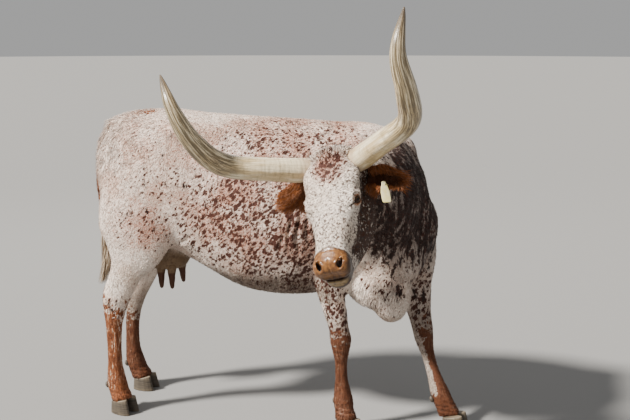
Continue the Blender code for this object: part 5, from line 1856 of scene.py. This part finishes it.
@dataclass
class Eyes:
    """Two eyeballs: a sphere with a slightly raised cornea."""

    stations: int = 48
    around: int = 64
    slack: float = 0.0003
    cornea: float = 0.55

    def build(self, side: Side) -> Object:
        """One ball: circles round the gaze from back to front, the front cap bulging a little.

        Args:
            side: which eye.

        Returns:
            The ball, with its "look": radii along the lids, across them and out of the eye.
        """
        centre, gaze, long_way, high = EYE.frame(side)
        angle = np.linspace(math.pi - 0.02, 0.02, self.stations)[:, None]
        turn = full_turn(self.around)[None, :]
        radius = (EYE.radius - self.slack) * (1 + 0.05 * ridge(angle, self.cornea))
        d = radius * np.cos(angle) + 0 * turn
        a = radius * np.sin(angle) * np.cos(turn)
        b = radius * np.sin(angle) * np.sin(turn)
        rings = centre + d[..., None] * gaze + a[..., None] * long_way + b[..., None] * high
        obj = tube(f"eyeball_{side.name.lower()}", rings)
        points, _ = arrays(obj.data)
        off = (points - centre) / EYE.radius
        set_vectors(obj.data, "look", np.stack([off @ long_way, off @ high, off @ gaze], 1))
        return obj


@dataclass(frozen=True)
class EyeFinish:
    """Dark brown iris with a long level pupil under a wet clear surface."""

    iris: tuple = (0.03, 0.012, 0.006)
    rim: tuple = (0.01, 0.006, 0.005)
    white: tuple = (0.33, 0.24, 0.2)
    ray: tuple = (0.1, 0.045, 0.018)
    pupil: tuple = (0.004, 0.004, 0.006)

    def make(self) -> Material:
        """The material."""
        graph = Graph("wet_eye")
        look = graph.attribute("look")
        a, b, _ = graph.parts(look)
        reach = (a * a + b * b) ** 0.5
        rays = graph.noise(graph.scaled(look, (9.0, 9.0, 2.0)), 3.0, 3.0)
        colour = graph.over(
            self.iris,
            (self.ray, rays.step(0.42, 0.66) * 0.7),
            (self.pupil, 1 - ((a * a / 0.2 + b * b / 0.045) ** 0.5).step(0.86, 1.0)),
            (self.rim, reach.step(0.6, 0.7)),
            (self.white, reach.step(0.8, 0.86) * 0.7),
        )
        return graph.finish(Base_Color=colour, Roughness=0.07, Coat_Weight=0.0, Specular_IOR_Level=0.22)


# hooves


@dataclass
class Hooves:
    """Claws and dewclaws, each a fine remesh of a merged copy of its solid with rounded edges
    and growth rings."""

    voxel: float = 0.0026
    sole: float = 0.004
    ring_gap: float = 0.0095

    def build(self, node: str) -> Object:
        """One claw: pressed in and out along its normals by level rings that lean with it.

        Args:
            node: its solid.

        Returns:
            The claw, its sole as flat as the solid's.
        """
        claw = remeshed(merged_copy([node], 0.0), self.voxel, node + "_horn")
        points, _ = arrays(claw.data)
        low = points[:, 2].min()
        moved = relaxed(claw.data, points, 3)
        points = np.where((points[:, 2] < low + self.sole)[:, None], points, moved)
        points[:, 2] = np.maximum(points[:, 2], low)
        normals = normals_of(claw.data)
        rings = wave(points[:, 2] + 0.12 * points[:, 0], self.ring_gap)
        rings = rings + 0.6 * ripple(points * np.array([1.0, 1.0, 4.0]), 0.03, 6)
        wall = (1 - np.abs(normals[:, 2])) * (points[:, 2] > low + self.sole)
        points = points + normals * (0.00045 * rings * wall)[:, None]
        set_points(claw.data, points)
        claw.data.shade_smooth()
        return claw


@dataclass(frozen=True)
class HoofFinish:
    """Dull keratin: grey-beige wall with paler growth rings and a pale band at its top."""

    wall: tuple = (0.072, 0.056, 0.038)
    dark: tuple = (0.026, 0.02, 0.015)
    pale: tuple = (0.26, 0.205, 0.14)
    dust: tuple = (0.13, 0.098, 0.062)

    def make(self) -> Material:
        """The material."""
        graph = Graph("hoof_keratin")
        place = graph.place()
        z = graph.parts(place)[2]
        bands = graph.noise(graph.mapped(place, (1.0, 1.0, 9.0)), 22.0, 3.0)
        lines = graph.noise(graph.mapped(place, (1.0, 1.0, 0.12)), 260.0, 2.0)
        dirt = graph.noise(place, 30.0, 4.0)
        colour = graph.over(
            self.wall,
            (self.dark, bands.step(0.45, 0.66) * 0.6),
            (self.pale, z.step(0.05, 0.072) * 0.6),
            (self.dark, z.step(0.092, 0.1) * 0.8),
            (self.dark, lines.step(0.52, 0.7) * 0.35),
            (self.dust, (1 - z.step(0.0, 0.022)) * dirt.step(0.4, 0.6) * 0.7),
        )
        normal = graph.bump(lines * 0.5 + bands * 0.5, 0.5, 0.001)
        return graph.finish(Base_Color=colour, Roughness=0.55 + bands * 0.12, Normal=normal)


# the ear tag


@dataclass
class EarTag:
    """A blank plate that hangs by a pin through the left ear, with a button behind."""

    place: float = 0.62
    lower: float = 0.026
    hollow: float = 0.0105
    half: tuple = (0.0011, 0.017, 0.042)
    turn: float = 48.0
    lean: float = 24.0
    drop: float = 0.033
    proud: float = 0.034
    around: int = 96
    squareness: float = 0.28
    pin_around: int = 40

    def axes(self) -> tuple:
        """The tag in the world.

        Returns:
            Back and front of the pin, way out of the plate, way down it, way across it and way
            along the pin.
        """
        _, ahead, facing, beside = EAR.axes(Side.LEFT)
        lower = beside if beside[2] < 0 else -beside
        middle = EAR.middle(Side.LEFT, np.array([self.place]))[0]
        back = middle + lower * self.lower - facing * self.hollow
        lean, turn = math.radians(self.lean), math.radians(self.turn)
        hang = lower * math.cos(lean) + ahead * math.sin(lean)
        beyond = unit(ahead - hang * (ahead @ hang))
        outward = facing * math.cos(turn) + beyond * math.sin(turn)
        return back, back + facing * self.proud, outward, hang, np.cross(outward, hang), facing

    def plate(self) -> Object:
        """The plate: shrunken copies of a rounded outline from the middle of one face over the
        rim to the middle of the other, bowed a little along its length.

        Returns:
            The plate.
        """
        _, front, outward, lower, across, _ = self.axes()
        angle = full_turn(self.around)
        x, y = (np.sign(s) * np.abs(s) ** self.squareness for s in (np.cos(angle), np.sin(angle)))
        narrow = 1 - 0.5 * smooth(-y, 0.0, 1.0)
        sizes = np.array([0.05, 0.5, 0.9, 0.975, 1.0, 1.0, 0.975, 0.9, 0.5, 0.05])
        heights = np.array([-1.0, -1.0, -1.0, -0.9, -0.45, 0.45, 0.9, 1.0, 1.0, 1.0])
        a = (x * narrow)[None, :] * sizes[:, None] * self.half[1]
        b = y[None, :] * sizes[:, None] * self.half[2]
        bow = 0.0022 * (b / self.half[2]) ** 2
        c = heights[:, None] * self.half[0] + bow - 0.001 * (a / self.half[1]) ** 2
        rings = (front + lower * self.drop) + a[..., None] * across + b[..., None] * lower
        return tube("tag_plate", rings + c[..., None] * outward)

    def pin(self) -> Object:
        """Pin and button: circles of changing radius along the pin.

        Returns:
            Both in one.
        """
        back, front, _, lower, _, facing = self.axes()
        length = float(np.linalg.norm(front - back))
        button = ((-0.008, 0.003), (-0.0078, 0.0095), (-0.007, 0.011), (-0.0058, 0.0108), (-0.0052, 0.006))
        shaft = ((-0.005, 0.0034), (0.0, 0.003), (0.5 * length, 0.003), (length - 0.003, 0.0034))
        rivet = ((-0.0028, 0.0068), (-0.001, 0.0074), (0.0012, 0.0066), (0.0018, 0.002))
        along, radius = np.array([*button, *shaft, *((length + a, r) for a, r in rivet)]).T
        side = unit(np.cross(facing, lower))
        radius = np.repeat(radius[:, None], self.pin_around, 1)
        line = back + along[:, None] * facing
        return tube("tag_pin", rings_about(line, side, np.cross(side, facing), radius))


@dataclass(frozen=True)
class TagFinish:
    """Pale yellow flexible plastic, scuffed and faded."""

    face: tuple = (0.64, 0.565, 0.23)
    faded: tuple = (0.7, 0.66, 0.42)
    scuff: tuple = (0.33, 0.27, 0.15)

    def make(self) -> Material:
        """The material."""
        graph = Graph("tag_plastic")
        place = graph.place()
        faded = graph.noise(place, 60.0, 3.0)
        scuffs = graph.noise(place, 420.0, 3.0)
        colour = graph.mix(self.face, self.faded, faded.step(0.4, 0.65) * 0.7)
        colour = graph.mix(colour, self.scuff, scuffs.step(0.6, 0.72) * 0.35)
        normal = graph.bump(scuffs, 0.15, 0.0004)
        return graph.finish(Base_Color=colour, Roughness=0.38 + scuffs * 0.2, Normal=normal)


# the switch of the tail


@dataclass
class Switch:
    """Long hair at the end of the tail, in fine tapered locks that fall and spread."""

    course: tuple = (
        (-0.832, 0.191, 0.93), (-0.826, 0.191, 0.86), (-0.82, 0.191, 0.79), (-0.821, 0.191, 0.72),
        (-0.832, 0.191, 0.64), (-0.852, 0.191, 0.562),
    )
    locks: int = 620
    stations: int = 14
    curve_points: int = 200
    grid: int = 26
    patch: float = 0.003
    seed: int = 12

    def build(self) -> Object:
        """The locks: each a flat four-cornered section carried along a curve of its own that
        starts on the tail, spreads from the middle and closes to a point. On the map for baking
        each has a small patch in a square grid.

        Returns:
            All the locks in one.
        """
        draw = np.random.default_rng(self.seed)
        t = np.linspace(0, 1, self.stations)[None, :]
        n = self.locks
        start = draw.uniform(0.0, 0.42, n)[:, None]
        reach = np.minimum(start + draw.uniform(0.42, 0.75, n)[:, None], 1.0)
        place = start + (reach - start) * t
        curve = spline(list(self.course), self.curve_points)
        even = np.linspace(0, 1, self.curve_points)
        line = np.stack([np.interp(place, even, curve[:, k]) for k in range(3)], 2)
        angle = draw.uniform(0, TAU, n)[:, None]
        core = 0.0165 * fall(place, 0.35, 1.0) + 0.003
        spread = core * draw.uniform(0.55, 1.0, n)[:, None]
        spread = spread + 0.03 * draw.uniform(0, 1, n)[:, None] ** 1.5 * t**1.6
        waved = 0.0022 * np.sin(9 * t + draw.uniform(0, 6.28, n)[:, None]) * t
        way = np.stack([np.cos(angle), np.sin(angle), 0 * angle], 2)
        beside = np.stack([-np.sin(angle), np.cos(angle), 0 * angle], 2)
        middle = line + way * spread[..., None] + beside * waved[..., None]
        taper = 0.0024 * np.sin(np.pi * np.clip(0.18 + 0.8 * t, 0, 1)) + 0.00008
        width = taper * draw.uniform(0.7, 1.3, n)[:, None]
        wide, thick = beside * width[..., None], way * (width * 0.4)[..., None]
        rings = np.stack([middle + wide, middle + thick, middle - wide, middle - thick], 2)
        count = self.stations * 4
        points = np.concatenate([rings.reshape(n, count, 3), middle[:, :1], middle[:, -1:]], 1)
        faces = np.concatenate([swept_faces(self.stations, 4, (count + 2) * k)[None] for k in range(n)])
        obj = facing_out(put_mesh("switch_hair", points.reshape(-1, 3), faces.reshape(-1, 3)))
        share = np.concatenate([np.repeat(t[0], 4), [0.0, 1.0]])
        set_strands(obj.data, share, draw.random(n))
        lock = np.arange(n)
        spot = np.stack([(lock % self.grid + 0.5) / self.grid, (lock // self.grid + 0.5) / self.grid], 1)
        corner = np.concatenate([np.tile([-0.5, 0.0, 0.5, 0.0], self.stations), [0.0, 0.0]])
        patch = np.stack([corner, share - 0.5], 1) * self.patch
        set_map(obj.data, (spot[:, None, :] + patch[None]).reshape(-1, 2))
        return obj


@dataclass(frozen=True)
class SwitchFinish:
    """Pale long hair, yellowed towards its ends, some locks brown and some nearly white."""

    hair: tuple = (0.48, 0.39, 0.29)
    yellowed: tuple = (0.34, 0.24, 0.14)
    brown: tuple = (0.15, 0.08, 0.045)
    white: tuple = (0.76, 0.67, 0.54)

    def make(self) -> Material:
        """The material."""
        graph = Graph("switch_strands")
        along, draw, _ = graph.marks("strand")
        colour = graph.over(
            self.hair,
            (self.yellowed, along.step(0.3, 1.0) * 0.7),
            (self.brown, draw.step(0.66, 0.8) * 0.8),
            (self.white, (1 - draw.step(0.1, 0.3)) * 0.6),
        )
        return graph.finish(Base_Color=colour, Roughness=0.45, Specular_IOR_Level=0.35)


# floor, light and camera


@dataclass
class Studio:
    """Grey floor, soft lights and the camera of the photograph's view."""

    location: tuple = (1.334, -3.8206, 1.74)
    azimuth: float = 16.0
    pitch: float = 10.55
    focal_pixels: float = 977.0
    width_pixels: float = 630.0
    sensor: float = 36.0
    floor_radius: float = 60.0
    floor_sides: int = 96
    floor_colour: tuple = (0.235, 0.233, 0.23)
    sky_colour: tuple = (0.955, 0.955, 0.95)
    sky: float = 0.42
    sun: float = 11.5
    sun_width: float = 7.0
    sun_colour: tuple = (1.0, 0.955, 0.885)
    sun_way: tuple = (0.8, 0.66, -0.98)
    aim: tuple = (0.05, 0.1, 0.85)

    def build(self) -> None:
        """Everything round the animal."""
        self._floor()
        key = bpy.data.lights.new("key", "SUN")
        key.energy, key.angle, key.color = self.sun, math.radians(self.sun_width), self.sun_colour
        self._turned(linked("key", key), Vector(self.sun_way))
        self._lamp("fill", (4.6, -3.0, 2.6), 3.6, 9.0, (0.96, 0.97, 1.0))
        self._lamp("rim", (-2.2, 4.2, 4.0), 3.0, 60.0, (1.0, 0.98, 0.95))
        world = bpy.data.worlds.new("studio")
        world.use_nodes = True
        sky = world.node_tree.nodes["Background"].inputs
        sky[0].default_value, sky[1].default_value = (*self.sky_colour, 1.0), self.sky
        bpy.context.scene.world = world
        self._camera()

    def _floor(self) -> None:
        """A wide flat disc of one face."""
        angle = full_turn(self.floor_sides)
        rim = np.stack([np.cos(angle), np.sin(angle), 0 * angle], 1) * self.floor_radius
        floor = put_mesh("floor", rim, np.arange(self.floor_sides)[None, :])
        floor.data.materials.append(Graph("studio_floor").finish(Base_Color=self.floor_colour, Roughness=0.9))

    def _turned(self, thing: Object, way: Vector) -> None:
        """Turns a lamp or camera to look along a way, its top up."""
        thing.rotation_euler = way.to_track_quat("-Z", "Y").to_euler()

    def _lamp(self, name: str, place: tuple, size: float, power: float, colour: tuple) -> None:
        """A square lamp that faces the animal's middle."""
        data = bpy.data.lights.new(name, "AREA")
        data.shape, data.size, data.energy, data.color = "SQUARE", size, power, colour
        lamp = linked(name, data)
        lamp.location = place
        self._turned(lamp, Vector(self.aim) - Vector(place))

    def _camera(self) -> None:
        """The photograph's camera."""
        data = bpy.data.cameras.new("view")
        data.sensor_width = self.sensor
        data.lens = self.focal_pixels / self.width_pixels * self.sensor
        camera = linked("view", data)
        a, p = math.radians(self.azimuth), math.radians(self.pitch)
        camera.location = self.location
        self._turned(camera, Vector((-math.sin(a) * math.cos(p), math.cos(a) * math.cos(p), -math.sin(p))))
        bpy.context.scene.camera = camera


# putting it together


def settle(piece: Object, finish: Material, slot: str, *nodes: str) -> None:
    """Dresses a piece, hangs it on the root and hides the solids that it replaces.

    Args:
        piece: the piece.
        finish: its material.
        slot: not used.
        nodes: the solids that it replaces.
    """
    piece.data.materials.clear()
    piece.data.materials.append(finish)
    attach(piece, "root")
    if nodes:
        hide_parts(*nodes)
    LOG.info("%s: %d faces", piece.name, len(piece.data.polygons))


def main() -> None:
    """Builds the classes in order."""
    logging.basicConfig(level=logging.INFO, format="%(name)s %(message)s")
    Studio().build()
    body = Skin()
    skin = body.build()
    settle(skin, SkinFinish().make(), "coat", *body.flesh, "ear_left", "ear_right")
    hair = CoatFinish().make()
    for piece in Coat().build(skin):
        settle(piece, hair, "coat", "torso")
    keratin = HornFinish().make()
    horns = Horns()
    wet = EyeFinish().make()
    eyes = Eyes()
    for side in Side:
        name = side.name.lower()
        settle(horns.build(side), keratin, "horn", "horn_" + name)
        settle(eyes.build(side), wet, "eye", "eye_" + name)
    hoof = HoofFinish().make()
    hooves = Hooves()
    for node in sorted(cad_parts):
        if "claw" in node:
            settle(hooves.build(node), hoof, "hoof", node)
    plastic = TagFinish().make()
    tag = EarTag()
    settle(tag.plate(), plastic, "tag", "ear_tag")
    settle(tag.pin(), plastic, "tag", "ear_tag")
    settle(Switch().build(), SwitchFinish().make(), "hair", "tail_switch")


if __name__ == "__main__":
    main()
